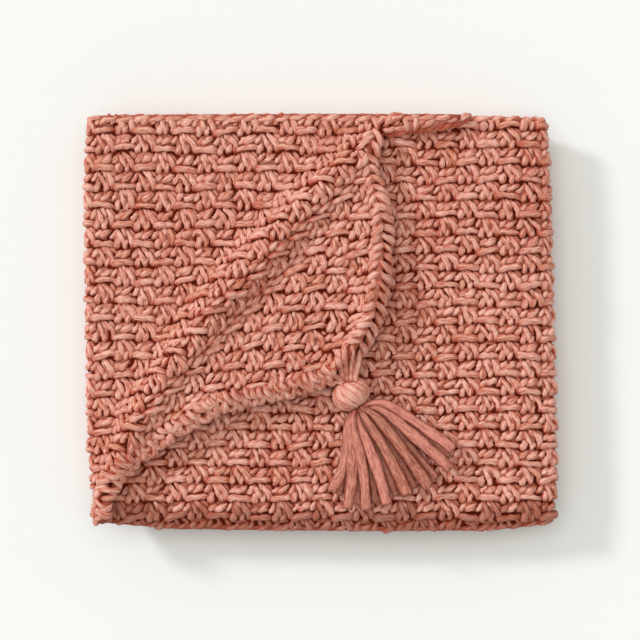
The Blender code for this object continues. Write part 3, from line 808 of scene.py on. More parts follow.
FLAP_OUTLINE = np.vstack([
    FRONT_HEM_CURVE,
    SIDE_HEM_CURVE[::-1],
    LIP_CURVE,
    [(0.18, 0.30), (-0.36, 0.30), (-0.36, -0.30), (-0.265, -0.30)],
])
EDGE_CLEAR = 5.6 * MM  # the edge chain takes this width of the cloth
LOW_CLEAR = 6.5 * MM  # and a little more along the front edge
SIDE_CLEAR = 15 * MM  # the braid along the side hem
FRONT_CLEAR = 10 * MM  # the loops along the front hem
HIDDEN = 24 * MM  # under the flap, the second layer's stitches stop this far from the hem


def off_ends(place):
    x, y = place[:, 0], place[:, 1]
    return (y < end_at(x, 1) - EDGE_CLEAR) & (y > end_at(x, 2) + LOW_CLEAR)


def on_flap(place):
    """The top layer's own stitches, clear of its hems."""
    side, front = (np.abs(beside(place[:, :2], c)[0]) for c in (SIDE_HEM_CURVE, FRONT_HEM_CURVE))
    lip = np.abs(beside(place[:, :2], LIP_CURVE)[0])
    clear = (side > SIDE_CLEAR) & (front > FRONT_CLEAR) & (lip > EDGE_CLEAR)
    return off_ends(place) & clear & inside(place[:, :2], FLAP_OUTLINE)


def below_flap(place):
    """The second layer's stitches that show past the flap."""
    near = np.minimum(*(np.abs(beside(place[:, :2], c)[0]) for c in (SIDE_HEM_CURVE, FRONT_HEM_CURVE)))
    return off_ends(place) & (~inside(place[:, :2], FLAP_OUTLINE) | (near < HIDDEN))


TOP_TILE = (25.0 * MM, 23.1 * MM)
TOP_CORNER = (-0.2552, 0.2312)
SECOND_TILE = (25.6 * MM, 21.8 * MM)
SECOND_CORNER = (0.0898, 0.0634)
SLANT, SLANT_WIDE = 0.20, 30 * MM  # the flap's knitting is pulled askew, from the ridge on
RIM_WIDE = 28 * MM  # the front band: its rows get the darker rim yarn as painted shade where the cloth hangs down, and the side fold's strands are left out of it


def askew(lines):
    """How askew each strand lies: not at all behind the ridge, and fully a little way before it."""
    off = beside(lines[:, lines.shape[1] // 2, :2], CREST_CURVE)[0]
    return SLANT * smooth(off / SLANT_WIDE)[:, None]


def off_corner(lines):
    """The strands without those low on the side fold at the very front, where the edge's chain lies."""
    middle = lines[:, lines.shape[1] // 2]
    at_front = middle[:, 1] < end_at(middle[:, 0], 2) + RIM_WIDE
    return lines[~at_front | (middle[:, 0] < run_end(TOP - 1, middle[:, 1], 1) + BEND)]


top_lines = chequer((-3, 19), (-2, 22), TOP_CORNER, TOP_TILE, 8)
top_lines = by_hand(top_lines, 11, slant=askew(top_lines))
left_half = top_lines[:, 4, 0] < -0.09
bank = lay("stitches_left", top_lines[left_half], top_net, on_flap, 8, 21)
flap = lay("stitches_flap", top_lines[~left_half], top_net, on_flap, 8, 22)
second_lines = off_corner(by_hand(chequer((-14, 10), (-9, 15), SECOND_CORNER, SECOND_TILE, 8), 12))
second_top = second_lines[:, 4, 1] > 0
second_back = lay("stitches_second_back", second_lines[second_top], second_net, below_flap, 8, 23)
# The rows along the front edge take the darker rim yarn: painted shade.
second_rim = second_lines[:, 4, 1] < end_at(second_lines[:, 4, 0], 2) + RIM_WIDE
low_lines = second_lines[~second_top & ~second_rim]
second_front = lay("stitches_second_front", low_lines, second_net, below_flap, 8, 24)
rim = lay("stitches_rim", second_lines[second_rim], second_net, below_flap, 8, 27, rim_shade_yarn)
below = (FLOAT_BELOW, LEG_BELOW)
top_below = chequer((-3, 19), (-2, 22), TOP_CORNER, TOP_TILE, 5, below)
top_below = by_hand(top_below, 13, slant=askew(top_below))
# The fillings take the darker inner yarns: painted shade down the gaps.
filling_top = lay("filling_top", top_below, top_net, on_flap, 6, 25, upper_inner)
second_below = by_hand(chequer((-14, 10), (-9, 15), SECOND_CORNER, SECOND_TILE, 5, below), 14)
second_below = off_corner(second_below)
filling_second = lay("filling_second", second_below, second_net, below_flap, 6, 26, inner_yarn)

# %% [markdown]
# ## Folds and underside
# The lower folds show at the packet's two sides, and the bottom layer shows when the packet is turned over. Each
# gets a net and stitches of its own. Below, the yarn is pressed flat by the weight that lies on it, which
# lay_yarn does: nothing reaches under the floor's level.

# %% Folds and underside
ROUND_FOLD = math.pi * BEND
TUCK = 14 * MM  # how far the stitches of a fold run on between the layers


def between(front, back, left=-1.0, right=1.0):
    """Keeps the strands whose middles lie that far in from the front and back edges."""
    def keep(place):
        x, y = place[:, 0], place[:, 1]
        return (y < end_at(x, 1) - back) & (y > end_at(x, 2) + front) & (x > left) & (x < right)
    return keep


def fold_stitches(name, low_layer, seed):
    """The stitches round one fold; its front end slants from one layer's front edge to the other's."""
    side = 1 if low_layer % 2 else -1
    reach = sorted((-side * TUCK, side * (ROUND_FOLD + TUCK)))
    net = net_over(reach, (-0.27, 0.27), lambda u, v: round_fold(low_layer, side * u, v))
    lines = by_hand(chequer((-2, 3), (-12, 13), (0, 9 * MM * low_layer), SECOND_TILE, 6), seed)
    upper = 1 - np.clip(side * lines[:, 3, 0] / ROUND_FOLD, 0, 1)
    low_end, high_end = LAYERS[low_layer][2], LAYERS[low_layer + 1][2]
    x = run_end(low_layer, lines[:, 3, 1], side)
    front = end_at(x, 2) + low_end + (high_end - low_end) * upper
    lines = lines[lines[:, 3, 1] > front + 6 * MM]
    return lay(name, lines, net, between(6 * MM, 10 * MM), 6, seed)


folds = [fold_stitches(f"stitches_fold_{low + 1}", low, 31 + low) for low in (0, 1, 2)]


def under_place(u, v):
    return cloth_point(0, np.stack([-u, v], axis=-1))


under_net = net_over((-0.27, 0.29), (-0.27, 0.27), under_place)
under_lines = by_hand(chequer((-12, 12), (-13, 13), (0, 0), SECOND_TILE, 6), 41)
under_right = run_end(0, 0, 1) - 6 * MM
under_keep = between(LAYERS[0][2] + 7 * MM, LAYERS[0][3] + 8 * MM, run_end(0, 0, -1) + TUCK, under_right)
under = lay("stitches_under", under_lines, under_net, under_keep, 6, 42)

# %% [markdown]
# ## Edges
# A knitted edge is a chain: long loops that lie one behind the other round the rim. A rim net runs along an edge,
# and its second step is the way in from it. Below 0 that step goes round the rim instead. One table of strands,
# repeated along the net, makes each chain.

# %% Rim nets
ROUND = 4 * MM  # the radius at which yarn goes round a rim
RIM_STEPS = np.arange(-5, 10) * NET_STEP


def rim_net(rim, inward, layer=None):
    """A net along a rim of the cloth, with its points and the ways in from them."""
    length = np.linalg.norm(np.diff(rim, axis=0), axis=1).sum()
    both = at_share(np.column_stack([rim, inward]), np.linspace(0, 1, int(length / NET_STEP) + 1), 3)
    rim, inward = both[:, None, :3], unit(both[:, None, 3:])
    place = rim + inward * np.maximum(RIM_STEPS, 0)[:, None]
    if layer is not None:
        place = cloth_point(layer, place[..., :2])
    up = unit(np.cross(np.gradient(place, axis=1), np.gradient(place, axis=0)))
    turn = (np.maximum(-RIM_STEPS, 0) / ROUND)[:, None]
    round_rim = np.cos(turn) * up[:, 5:6] - np.sin(turn) * inward
    out = np.where((RIM_STEPS >= 0)[:, None], up, round_rim)
    return {"start": np.array([0, RIM_STEPS[0]]), "place": place, "out": out}


def chain(table, net, pitch, rings, start=0, stop=0):
    """The strands of a table, repeated along a rim net, from a start to a stop before its end."""
    lines = np.array([resampled(strand, rings) for strand in table]) * MM
    count = int(((len(net["place"]) - 1) * NET_STEP - start - stop) / pitch)
    shift = np.zeros((count, 1, 1, 4))
    shift[:, 0, 0, 0] = start + np.arange(count) * pitch
    return (lines + shift).reshape(-1, rings, 4)


def everywhere(place):
    return np.ones(len(place), bool)


def core_of(name, net, inward=-6.3 * MM, height=1.2 * MM, radius=4.2 * MM):
    """One long rope under the loops of a rim, so that no gap between them shows the floor."""
    along = np.arange(0, (len(net["place"]) - 1) * NET_STEP, 6 * MM)
    line = np.full((1, len(along), 4), (0, inward, height, radius))
    line[0, :, 0] = along
    line[0, :, 3] *= np.random.default_rng(len(along)).normal(1, 0.07, len(along))
    # The rope takes the darker inner yarn: painted shade under the loops.
    return lay(name, line, net, everywhere, 8, 50, inner_yarn)


# %% [markdown]
# The two long edges of the cloth run to and fro from layer to layer, and the free end on the floor joins them.
# Their chain is two ropes of long slanting loops, one over the other. The sheet's own rings of points give the
# rims, so they are worked out here and used again for the sheet.

# %% Chains along the long edges
ROWS, ROW_CROWDING = 28, 1.35
RUN_SHARES = (0.0, 0.16, 0.38, 0.62, 0.84, 0.93, 1.0)
FOLD_STEPS = 8
RIM_INSET = 5 * MM
EDGE_CHAIN = (  # along, in from the rim, height, radius (mm)
    ((-4, 3.0, 2.0, 2.4), (3, 2.0, 4.4, 3.6), (11, 0.0, 4.8, 3.8), (20, -3.5, 1.6, 2.4)),
    ((-3, -6.5, 0.8, 2.4), (5, -8.5, 2.8, 4.0), (12, -11.0, 2.6, 4.0), (21, -14.0, 0.6, 2.2)),
)
LOW_CHAIN = (  # the front edge hangs, and its chain lies lower round the rim
    ((-4, 3.0, 1.4, 2.2), (3, 0.5, 2.4, 3.2), (9, -3.0, 3.0, 3.4), (16, -5.5, 1.4, 2.2)),
    ((-3, -8.5, 0.8, 2.4), (5, -10.0, 2.6, 3.8), (12, -12.0, 2.4, 3.8), (21, -14.5, 0.6, 2.2)),
)
EDGE_PITCH = 19.5 * MM


def layer_plan(layer, across, along, inset=0.0):
    """Plan points of a layer, by shares from left to right and from back to front."""
    left, right, front, back = LAYERS[layer]
    y = (1 - along) * SIDES[0][0] + along * SIDES[-1][0]
    x0, x1 = run_end(layer, y, -1), run_end(layer, y, 1)
    x = x0 + (x1 - x0) * across
    y0, y1 = end_at(x, 1) - back - inset, end_at(x, 2) + front + inset
    return np.stack([x, y0 + (y1 - y0) * along], axis=-1)


def strip_rings(inset=0.0):
    """Rings of points along the lying layers, from the free end on the floor up to the flap's fold."""
    along = 1 - (1 - np.linspace(0, 1, ROWS + 1)) ** ROW_CROWDING
    rings = []
    for layer in range(TOP):
        shares = RUN_SHARES[::-1] if layer % 2 == 0 else RUN_SHARES
        rings += [cloth_point(layer, layer_plan(layer, np.full(ROWS + 1, s), along, inset)) for s in shares]
        side = -1 if layer % 2 == 0 else 1
        low = rings[-1]
        high = cloth_point(layer + 1, layer_plan(layer + 1, np.full(ROWS + 1, shares[-1]), along, inset))
        for k in range(1, FOLD_STEPS):
            turn = math.pi * k / FOLD_STEPS
            ring = low + (high - low) * (1 - math.cos(turn)) / 2
            ring[:, 0] += side * FOLD_BULGE * math.sin(turn)
            rings.append(ring)
    return rings


strip = np.array(strip_rings())
back_x = np.linspace(run_end(TOP, 0.25, -1), 0.172, 60)
top_back = cloth_point(TOP, np.column_stack([back_x, end_at(back_x, 1)]))
back_rim = np.vstack([strip[:, 0], top_back])
back_in = np.vstack([unit(strip[:, 2] - strip[:, 0]), np.tile([(0, -1, 0)], (60, 1))])
front_rim, front_in = strip[:, -1], unit(strip[:, -4] - strip[:, -1])
end_rim, end_in = strip[0], unit(strip[1] - strip[0])
edges = []
for name, line, inward, table, finish in (
    ("chain_back", back_rim, back_in, EDGE_CHAIN, yarn),
    # the front chain takes the rim's painted shade
    ("chain_front", front_rim, front_in, LOW_CHAIN, rim_shade_yarn),
    ("chain_end", end_rim, end_in, EDGE_CHAIN, yarn),
):
    net = rim_net(line + inward * RIM_INSET, inward)
    lines = by_hand(chain(table, net, EDGE_PITCH, 7), len(name))
    edges.append(lay(name, lines, net, everywhere, 8, 51, finish))
    edges.append(core_of(name.replace("chain", "core"), net))

# %% [markdown]
# The flap's hems are curled over. A braid of slanting loops runs down the side hem, with a thinner row in its
# shadow. The front hem is a tight row of small uneven curls, some slanting one way and some the other, and hooks
# lie behind them. The lip along the back edge is a thin rope. Under the side and the front hem, two long ropes each
# close the gaps.

# %% Hems of the flap
SIDE_CHAIN = (
    ((-3, 8.5, 2.0, 2.6), (3, 5.5, 7.2, 4.7), (9, 1.0, 8.6, 4.9), (17, -3.0, 5.0, 2.6)),
    ((-2, 8.0, 2.4, 2.6), (3, 10.5, 5.8, 4.5), (8, 14.0, 5.4, 4.5), (13, 17.5, 1.4, 2.6)),
    ((-2, -11.0, 1.8, 2.2), (5, -9.0, 3.2, 3.4), (12, -6.0, 2.4, 2.2)),
)
SIDE_PITCH = 12.4 * MM
CURLS = (
    ((0, 7.0, 3.6, 2.8), (3.0, 3.2, 7.6, 4.4), (6.5, -0.8, 8.2, 4.5), (9.0, -3.6, 6.4, 3.2)),
    (
        (16.0, 6.0, 3.6, 2.8),
        (13.0, 2.0, 7.4, 4.2),
        (9.5, -1.4, 8.4, 4.4),
        (6.0, -3.4, 7.4, 3.8),
        (2.0, -5.4, 5.0, 2.6),
    ),
)
CURLS_PITCH = 12.6 * MM
HOOKS = (
    (
        (-2.5, 7.5, 3.0, 2.8),
        (1.5, 5.5, 6.4, 4.1),
        (6.0, 7.0, 7.0, 4.3),
        (8.5, 10.5, 5.6, 3.9),
        (6.5, 13.5, 2.0, 2.6),
    ),
)
HOOKS_PITCH = 9.8 * MM
LIP_CHAIN = (
    ((-3, 4.0, -3.0, 2.2), (3, 2.0, -0.6, 3.6), (9, -0.4, -0.4, 3.8), (17, -1.5, -3.2, 2.2)),
    ((-3, -10.5, 2.0, 2.4), (4, -9.5, 6.0, 4.2), (11, -11.0, 9.0, 4.2), (18, -12.5, 6.0, 2.4)),
)
LIP_PITCH = 11 * MM


def hem_net(curve):
    """The rim net of a hem of the flap, which lies to the right of the curve."""
    ahead = unit(np.gradient(curve[:, :2], axis=0))
    inward = np.column_stack([ahead[:, 1], -ahead[:, 0], np.zeros(len(ahead))])
    rim = cloth_point(TOP, curve[:, :2])
    return rim_net(rim + inward * RIM_INSET, inward, TOP)


side_net, front_net, lip_net = (hem_net(c) for c in (SIDE_HEM_CURVE, FRONT_HEM_CURVE[::-1], LIP_CURVE[::-1]))
side_lines = by_hand(chain(SIDE_CHAIN, side_net, SIDE_PITCH, 8, stop=22 * MM), 61, 0.8 * MM)
side_hem = lay("hem_side", side_lines, side_net, everywhere, 8, 62)
front_rows = ((CURLS, CURLS_PITCH), (HOOKS, HOOKS_PITCH))
front_lines = np.concatenate([chain(table, front_net, pitch, 8, 12 * MM) for table, pitch in front_rows])
front_lines = by_hand(front_lines, 63, 1.1 * MM, 0.5 * MM, 0.12)
front_lines[..., 2] += 1.5 * MM
front_hem = lay("hem_front", front_lines, front_net, everywhere, 8, 64)
lip_lines = by_hand(chain(LIP_CHAIN, lip_net, LIP_PITCH, 8), 65)
lip_hem = lay("hem_lip", lip_lines, lip_net, everywhere, 8, 66)
cores = [
    core_of("core_hem_side", side_net, 0, 2.4 * MM, 4.8 * MM),
    core_of("core_hem_inner", side_net, 9 * MM, 1.2 * MM, 5.2 * MM),
    core_of("core_hem_front", front_net, 0, 4.4 * MM, 4.6 * MM),
    core_of("core_hem_behind", front_net, 8 * MM, 2.0 * MM, 4.8 * MM),
]

# %% [markdown]
# At the corner the hems end in a few long strands, drawn together by the tie. They are placed one by one, by
# their plan and their height over the flap's own face, and run on into the tassel's head.

# %% The drawn corner
CORNER_STRANDS = (  # x, y, height over the flap's face
    ((0.0170, -0.0380, -0.001), (0.0195, -0.0470, 0.002), (0.0230, -0.0580, 0.001), (0.0275, -0.0720, -0.009)),
    ((0.0265, -0.0240, -0.001), (0.0265, -0.0400, 0.003), (0.0280, -0.0550, 0.003), (0.0310, -0.0720, -0.007)),
    ((0.0370, -0.0240, -0.001), (0.0360, -0.0390, 0.003), (0.0355, -0.0540, 0.003), (0.0350, -0.0720, -0.007)),
    ((0.0480, -0.0280, -0.003), (0.0450, -0.0400, 0.001), (0.0425, -0.0530, 0.001), (0.0390, -0.0720, -0.009)),
)
CORNER_RINGS = 16


def over_flap(table, rings):
    """Lines over the flap, from tables of a plan and a height over its face."""
    rows = np.array(table)
    rows[..., 2] += cloth_point(TOP, rows[..., :2])[..., 2] + CLOTH_THICK / 2
    return np.array([at_share(soft_curve(t), np.linspace(0, 1, rings), 3) for t in rows])


corner_lines = over_flap(CORNER_STRANDS, CORNER_RINGS)
corner_wide = np.interp(np.linspace(0, 1, CORNER_RINGS), (0, 0.2, 0.75, 1), (2.4, 4.3, 3.9, 2.6)) * MM
corner_wide = corner_wide * np.random.default_rng(67).normal(1, 0.07, (len(CORNER_STRANDS), CORNER_RINGS))
corner_out = np.tile([0.0, 0.0, 1.0], (*corner_lines.shape[:2], 1))
corner_high = corner_wide * FLAT
corner = lay_yarn(
    "corner_strands", corner_lines, corner_out, corner_wide, corner_high, 12, 68, tucked=(0.08, 0.03)
)
finish_piece(corner, yarn)

# %% [markdown]
# ## The cloth under the stitches
# Knitting is a net of yarn, and what shows down its gaps is more yarn in shadow. One thin sheet along the middle
# of the cloth stands for that. It has the solid's own folds: a grid for the layers that lie folded, one for the
# top layer with its ridge, and one for the narrow lip, joined where they meet. Solidify makes it 2 mm thick.

# %% The sheet
SHEET_THICK = 2 * MM
SHEET_INSET = 5 * MM  # the chains and hems hide the sheet's rim
FLAP_RINGS, CORNER_RING, TASSEL_RING = 60, 38, 33
BANK_STEPS = ((8 * MM, 0.12), (16 * MM, 0.25), (25 * MM, 0.40), (36 * MM, 0.55))
HEM_STEPS = ((5 * MM, 0.08), (10 * MM, 0.17), (16 * MM, 0.28))
LIP_ROWS, LIP_STEPS, LIP_END = 2, 7, 0.93


def by_rings(first, second, ring):
    """Points along two curves that meet at a ring's number, one for each ring."""
    share = np.linspace(0, 1, FLAP_RINGS - ring + 1)[1:]
    return np.vstack([at_share(first, np.linspace(0, 1, ring + 1)), at_share(second, share)])[:, :2]


def drawn_in(curve):
    """A curve moved to its left by the sheet's inset."""
    ahead = unit(np.gradient(curve[:, :2], axis=0))
    return curve[:, :2] + SHEET_INSET * np.column_stack([-ahead[:, 1], ahead[:, 0]])


def flap_rings():
    """Rings of points across the top layer: from its folded or back edge, over the crest, to the hem."""
    left = layer_plan(TOP, np.zeros(81), np.linspace(1, 0, 81), SHEET_INSET)
    back = np.linspace(left[-1, 0], LIP[0][0], 81)
    outer = by_rings(left, np.column_stack([back, end_at(back, 1) - SHEET_INSET]), CORNER_RING)
    hem = by_rings(drawn_in(FRONT_HEM_CURVE), drawn_in(SIDE_HEM_CURVE[::-1]), TASSEL_RING)
    crest = at_share(CREST_CURVE[::-1], np.linspace(0, 1, FLAP_RINGS + 1))[:, :2]
    crest[0] = hem[0] = outer[0]
    rings = []
    for start, top, end in zip(outer, crest, hem):
        wide = np.linalg.norm(start - top)
        away = [min(reach, wide * share) for reach, share in BANK_STEPS]
        away += [away[-1] + (wide - away[-1]) * k / 3 for k in (1, 2)]
        behind = [1 - a / max(wide, MM) for a in reversed(away)]
        wide = np.linalg.norm(end - top)
        away = [min(reach, wide * share) for reach, share in BANK_STEPS]
        close = [wide - min(reach, wide * share) for reach, share in reversed(HEM_STEPS)]
        away += [away[-1] + (close[0] - away[-1]) * k / 3 for k in (1, 2)] + close
        before = [a / max(wide, MM) for a in away]
        plan = [start] + [start + (top - start) * s for s in behind] + [top]
        plan += [top + (end - top) * s for s in before] + [end]
        rings.append(cloth_point(TOP, np.array(plan)))
    return rings


def lip_rings():
    """Rings across the lip, from beside the flap's last ring to the lip's thin end."""
    rings = []
    for k in range(1, LIP_STEPS + 1):
        low = at_share(drawn_in(LIP_CURVE), LIP_END * k / LIP_STEPS)
        high = np.array([low[0], end_at(low[0], 1) - SHEET_INSET])
        low[1] = min(low[1], high[1] - MM)
        plan = high + (low - high) * np.linspace(0, 1, LIP_ROWS + 1)[:, None]
        rings.append(cloth_point(TOP, plan))
    return rings


def sheet_grid(bm, points):
    """A grid of faces whose corners are points[i][j]; gives its vertices back in that order."""
    columns, rows = len(points) - 1, len(points[0]) - 1
    made = bmesh.ops.create_grid(bm, x_segments=columns, y_segments=rows, size=1.0)["verts"]
    placed = [[None] * (rows + 1) for _ in range(columns + 1)]
    for v in made:
        i, j = round((v.co.x + 1) / 2 * columns), round((v.co.y + 1) / 2 * rows)
        v.co = points[i][j]
        placed[i][j] = v
    return placed


def edges_along(verts):
    """The edges between neighbours in a row of vertices."""
    return [next(e for e in a.link_edges if e.other_vert(a) is b) for a, b in zip(verts, verts[1:])]


bm = bmesh.new()
sheet_parts = (strip_rings(SHEET_INSET), flap_rings(), lip_rings())
low_grid, flap_grid, lip_grid = (sheet_grid(bm, rings) for rings in sheet_parts)
fold_verts = [ring[0] for ring in flap_grid[CORNER_RING::-1]]
bmesh.ops.bridge_loops(bm, edges=edges_along(low_grid[-1]) + edges_along(fold_verts))
bmesh.ops.bridge_loops(bm, edges=edges_along(flap_grid[-1]) + edges_along(lip_grid[0]))
bmesh.ops.remove_doubles(bm, verts=flap_grid[0], dist=0.01 * MM)
bmesh.ops.recalc_face_normals(bm, faces=bm.faces[:])
sheet_mesh = bpy.data.meshes.new("cloth_sheet")
bm.to_mesh(sheet_mesh)
bm.free()
sheet_mesh.shade_smooth()
sheet = bpy.data.objects.new("cloth_sheet", sheet_mesh)
bpy.context.scene.collection.objects.link(sheet)
wall = sheet.modifiers.new("cloth", "SOLIDIFY")
wall.thickness = SHEET_THICK
wall.offset = 0
finish_piece(sheet, gap_shade)
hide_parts("blanket")
stitches = [bank, flap, second_back, second_front, rim, filling_top, filling_second]
stitches += [under, *folds, *edges, side_hem, front_hem, lip_hem, *cores, corner]
print("sheet faces:", len(sheet_mesh.polygons))

# %% [markdown]
# ## The tassel
# The head is a ball of yarn: lengths of it run from the tie over the ball and meet at the neck. Below the neck they
# open into the skirt, where each is flat, soft and about as wide as a finger. They leave in two rows, with the
# solid's own headings and lengths.

# %% Sizes of the tassel
HEAD_AT = (0.0350, -0.0862)
HEAD_HIGH = 34 * MM
NECK_AT = (0.0430, -0.1045)
SKIRT_AT = (0.0465, -0.1085)
TASSEL_CLEAR = 3 * MM
STRANDS = (  # heading at the neck and at the end in degrees, length, width at the end, row: 1 lies on 0
    (-100, -122, 106 * MM, 17 * MM, 1),
    (-95, -101, 122 * MM, 18 * MM, 1),
    (-85, -89, 122 * MM, 18 * MM, 1),
    (-72, -76, 120 * MM, 19 * MM, 1),
    (-55, -66, 120 * MM, 19 * MM, 1),
    (-38, -58, 128 * MM, 19 * MM, 1),
    (-20, -46, 134 * MM, 19 * MM, 1),
    (-3, -43, 127 * MM, 17 * MM, 1),
    (-98, -112, 108 * MM, 15 * MM, 0),
    (-90, -94, 116 * MM, 16 * MM, 0),
    (-78, -83, 116 * MM, 16 * MM, 0),
    (-64, -70, 114 * MM, 16 * MM, 0),
    (-48, -62, 118 * MM, 16 * MM, 0),
    (-30, -54, 128 * MM, 16 * MM, 0),
    (-12, -44, 126 * MM, 15 * MM, 0),
)
STRAND_ROOT, STRAND_THICK = 10 * MM, 7 * MM
ROW_GAP, ROW_ARCH, ROW_LEAVES, SINK_SHARE = 3 * MM, 4 * MM, (0.35, 0.55), 0.62
rest = float(cloth_point(TOP - 1, np.array([NECK_AT]))[0, 2]) + CLOTH_THICK / 2
print("the tassel rests at", round(rest, 4))

# %% Skirt
SKIRT_RINGS, SKIRT_SIDES = 34, 40
SKIRT_PLIES, SKIRT_TWIST, PLY_DEPTH = 4, 2.6, 0.10
SLIM = (0.62, 0.78)  # the soft yarn is narrower than the solid's locks, most in the lower row
ENDS_UP = (3 * MM, 6 * MM)  # how far the cut ends of each row stand up
NECK_WAY = -58  # the heading of the neck, in degrees
NECK_AHEAD = np.array([math.cos(math.radians(NECK_WAY)), math.sin(math.radians(NECK_WAY))])
NECK_LEVEL = np.array([-NECK_AHEAD[1], NECK_AHEAD[0]])
NECK_SPREAD, NECK_IN = 8 * MM, 5 * MM
SHOULDER, SHOULDER_AT = 12 * MM, 0.14  # the strands bulge to the side of the neck, this far along


def strand_line(start, end, length, row):
    """A strand's middle line: out of the neck, over its shoulder, down to its row and out into the fan."""
    share = np.linspace(0, 1, SKIRT_RINGS)
    heading = np.radians(start + (end - start) * share)
    step = np.stack([np.cos(heading), np.sin(heading)], axis=-1) * length / (SKIRT_RINGS - 1)
    plan = np.array(SKIRT_AT) + np.vstack([np.zeros((1, 2)), np.cumsum(step[:-1], axis=0)])
    aside = math.sin(math.radians(start - NECK_WAY))
    from_neck = (1 - smooth(share / 0.8))[:, None]
    bulge = (share / SHOULDER_AT * np.exp(1 - share / SHOULDER_AT))[:, None]
    plan = plan + aside * (from_neck * NECK_SPREAD + bulge * SHOULDER) * NECK_LEVEL
    plan = plan - from_neck * NECK_IN * NECK_AHEAD
    low = rest + TASSEL_CLEAR + STRAND_THICK / 2 + (STRAND_THICK + ROW_GAP) * row
    high = rest + TASSEL_CLEAR + HEAD_HIGH * ROW_LEAVES[row]
    z = high + (low - high) * smooth(share / SINK_SHARE) + ROW_ARCH * row * np.sin(math.pi * share)
    return with_height(plan, z + ENDS_UP[row] * share ** 2)


rng = np.random.default_rng(71)
share = np.linspace(0, 1, SKIRT_RINGS)
skirt = np.array([strand_line(*row[:3], row[4]) for row in STRANDS])
over = np.arange(len(STRANDS))[:, None] % 3  # near the neck, strands lie over one another
skirt[..., 2] += 2.2 * MM * over * (1 - smooth(share / 0.7))
wide = np.array([STRAND_ROOT + (row[3] - STRAND_ROOT) * smooth(share / 0.4) for row in STRANDS]) / 2
uneven = rng.uniform(0, 6, (2, len(STRANDS), 1))
wide = wide * np.array([SLIM[row[4]] for row in STRANDS])[:, None]
wide = wide * (1 + 0.09 * np.sin(share * 8 + uneven[0]) + 0.05 * np.sin(share * 23 + uneven[1]))
high = np.full_like(wide, 4.3 * MM)
wide[:, -1] *= 0.6
high[:, -1] *= 0.6
turn = math.tau * np.arange(SKIRT_SIDES) / SKIRT_SIDES
twist = rng.uniform(0, 6, (len(STRANDS), 1, 1)) + SKIRT_TWIST * share[None, :, None]
plies = 1 - PLY_DEPTH * np.abs(np.sin(SKIRT_PLIES / 2 * turn + twist))
fray = np.zeros((len(STRANDS), SKIRT_RINGS, SKIRT_SIDES))
fray[:, -2] = rng.uniform(-2, 2, (len(STRANDS), SKIRT_SIDES)) * MM
fray[:, -1] = fray[:, -2] * 0.3 - 2.8 * MM  # the last ring is drawn back into the blunt end
skirt_out = np.tile([0.0, 0.0, 1.0], (*skirt.shape[:2], 1))
hanging = lay_yarn(
    "tassel_skirt", skirt, skirt_out, wide, high, SKIRT_SIDES, 72, plies, fray, tucked=(0.08, 0.01)
)
finish_piece(hanging, skirt_shade_yarn)

# %% [markdown]
# The head's lengths are meridians of a squashed ball, from the tie to the neck. Each is widest at the middle of
# the ball. A plain dark ball inside closes what is left between them: painted shade down the gaps.

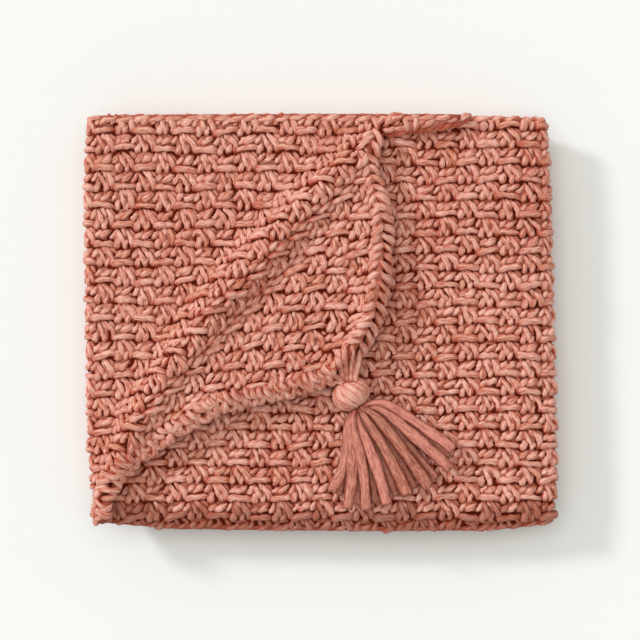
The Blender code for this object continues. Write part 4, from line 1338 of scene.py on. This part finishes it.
# %% Head and tie
HEAD_LENGTHS, HEAD_RINGS = 15, 20
HEAD_WAY = -58  # the heading from the tie to the neck, in degrees
HEAD_HALVES = (20 * MM, 23.5 * MM, HEAD_HIGH / 2)  # along that heading, level across it, and up
HEAD_YARN = 3.9 * MM
middle = np.array([*HEAD_AT, rest + TASSEL_CLEAR + HEAD_HIGH / 2])
axis = np.array([math.cos(math.radians(HEAD_WAY)), math.sin(math.radians(HEAD_WAY)), 0])
level = np.array([-axis[1], axis[0], 0])
up = np.array([0.0, 0.0, 1.0])
tilt = np.radians(np.linspace(5, 175, HEAD_RINGS))[None, :, None]
round_axis = (math.tau * np.arange(HEAD_LENGTHS) / HEAD_LENGTHS)[:, None, None] + 0.35 * np.cos(tilt)
long, side, high = (half - HEAD_YARN * 0.8 for half in HEAD_HALVES)
across = np.sin(tilt) * (np.cos(round_axis) * side * level + np.sin(round_axis) * high * up)
from_middle = across - np.cos(tilt) * long * axis
swell = np.sin(tilt)[..., 0] * np.ones((HEAD_LENGTHS, 1))
head_wide = HEAD_YARN * (0.30 + 1.08 * swell)
head_high = HEAD_YARN * (0.6 + 0.4 * swell)
head_lines = middle + from_middle
head = lay_yarn("tassel_head", head_lines, unit(from_middle), head_wide, head_high, 12, 73, tucked=(0.1, 0.12))
finish_piece(head, tassel_yarn)
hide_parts("tassel")

bm = bmesh.new()
bmesh.ops.create_uvsphere(bm, u_segments=20, v_segments=12, radius=0.84)
bmesh.ops.scale(bm, vec=HEAD_HALVES, verts=bm.verts[:])
bmesh.ops.rotate(bm, matrix=Matrix.Rotation(math.radians(HEAD_WAY), 3, "Z"), verts=bm.verts[:])
bmesh.ops.translate(bm, vec=middle, verts=bm.verts[:])
core_mesh = bpy.data.meshes.new("tassel_core")
bm.to_mesh(core_mesh)
bm.free()
core_mesh.shade_smooth()
core = bpy.data.objects.new("tassel_core", core_mesh)
bpy.context.scene.collection.objects.link(core)
finish_piece(core, gap_shade)

TAILS = (  # x, y, height over the flap's own face: the tie's free end, and a short one beside it
    ((0.0270, -0.0730, -0.006), (0.0185, -0.0665, 0.004), (0.0105, -0.0605, 0.006), (0.0030, -0.0545, 0.006)),
    ((0.0270, -0.0745, -0.008), (0.0195, -0.0720, 0.001), (0.0125, -0.0722, 0.003), (0.0060, -0.0745, 0.002)),
)
TAIL_RINGS = 16
tail_lines = over_flap(TAILS, TAIL_RINGS)
tail_wide = np.interp(np.linspace(0, 1, TAIL_RINGS), (0, 0.3, 0.7, 1), (3.4, 3.8, 3.0, 1.2)) * MM
tail_wide = np.array([tail_wide, tail_wide * 0.7])
tail_out = np.tile(up, (len(TAILS), TAIL_RINGS, 1))
tie = lay_yarn("tie_tail", tail_lines, tail_out, tail_wide, tail_wide * 0.8, 12, 74, tucked=(0.1, 0.02))
finish_piece(tie, tassel_yarn)
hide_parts("tassel_tie")
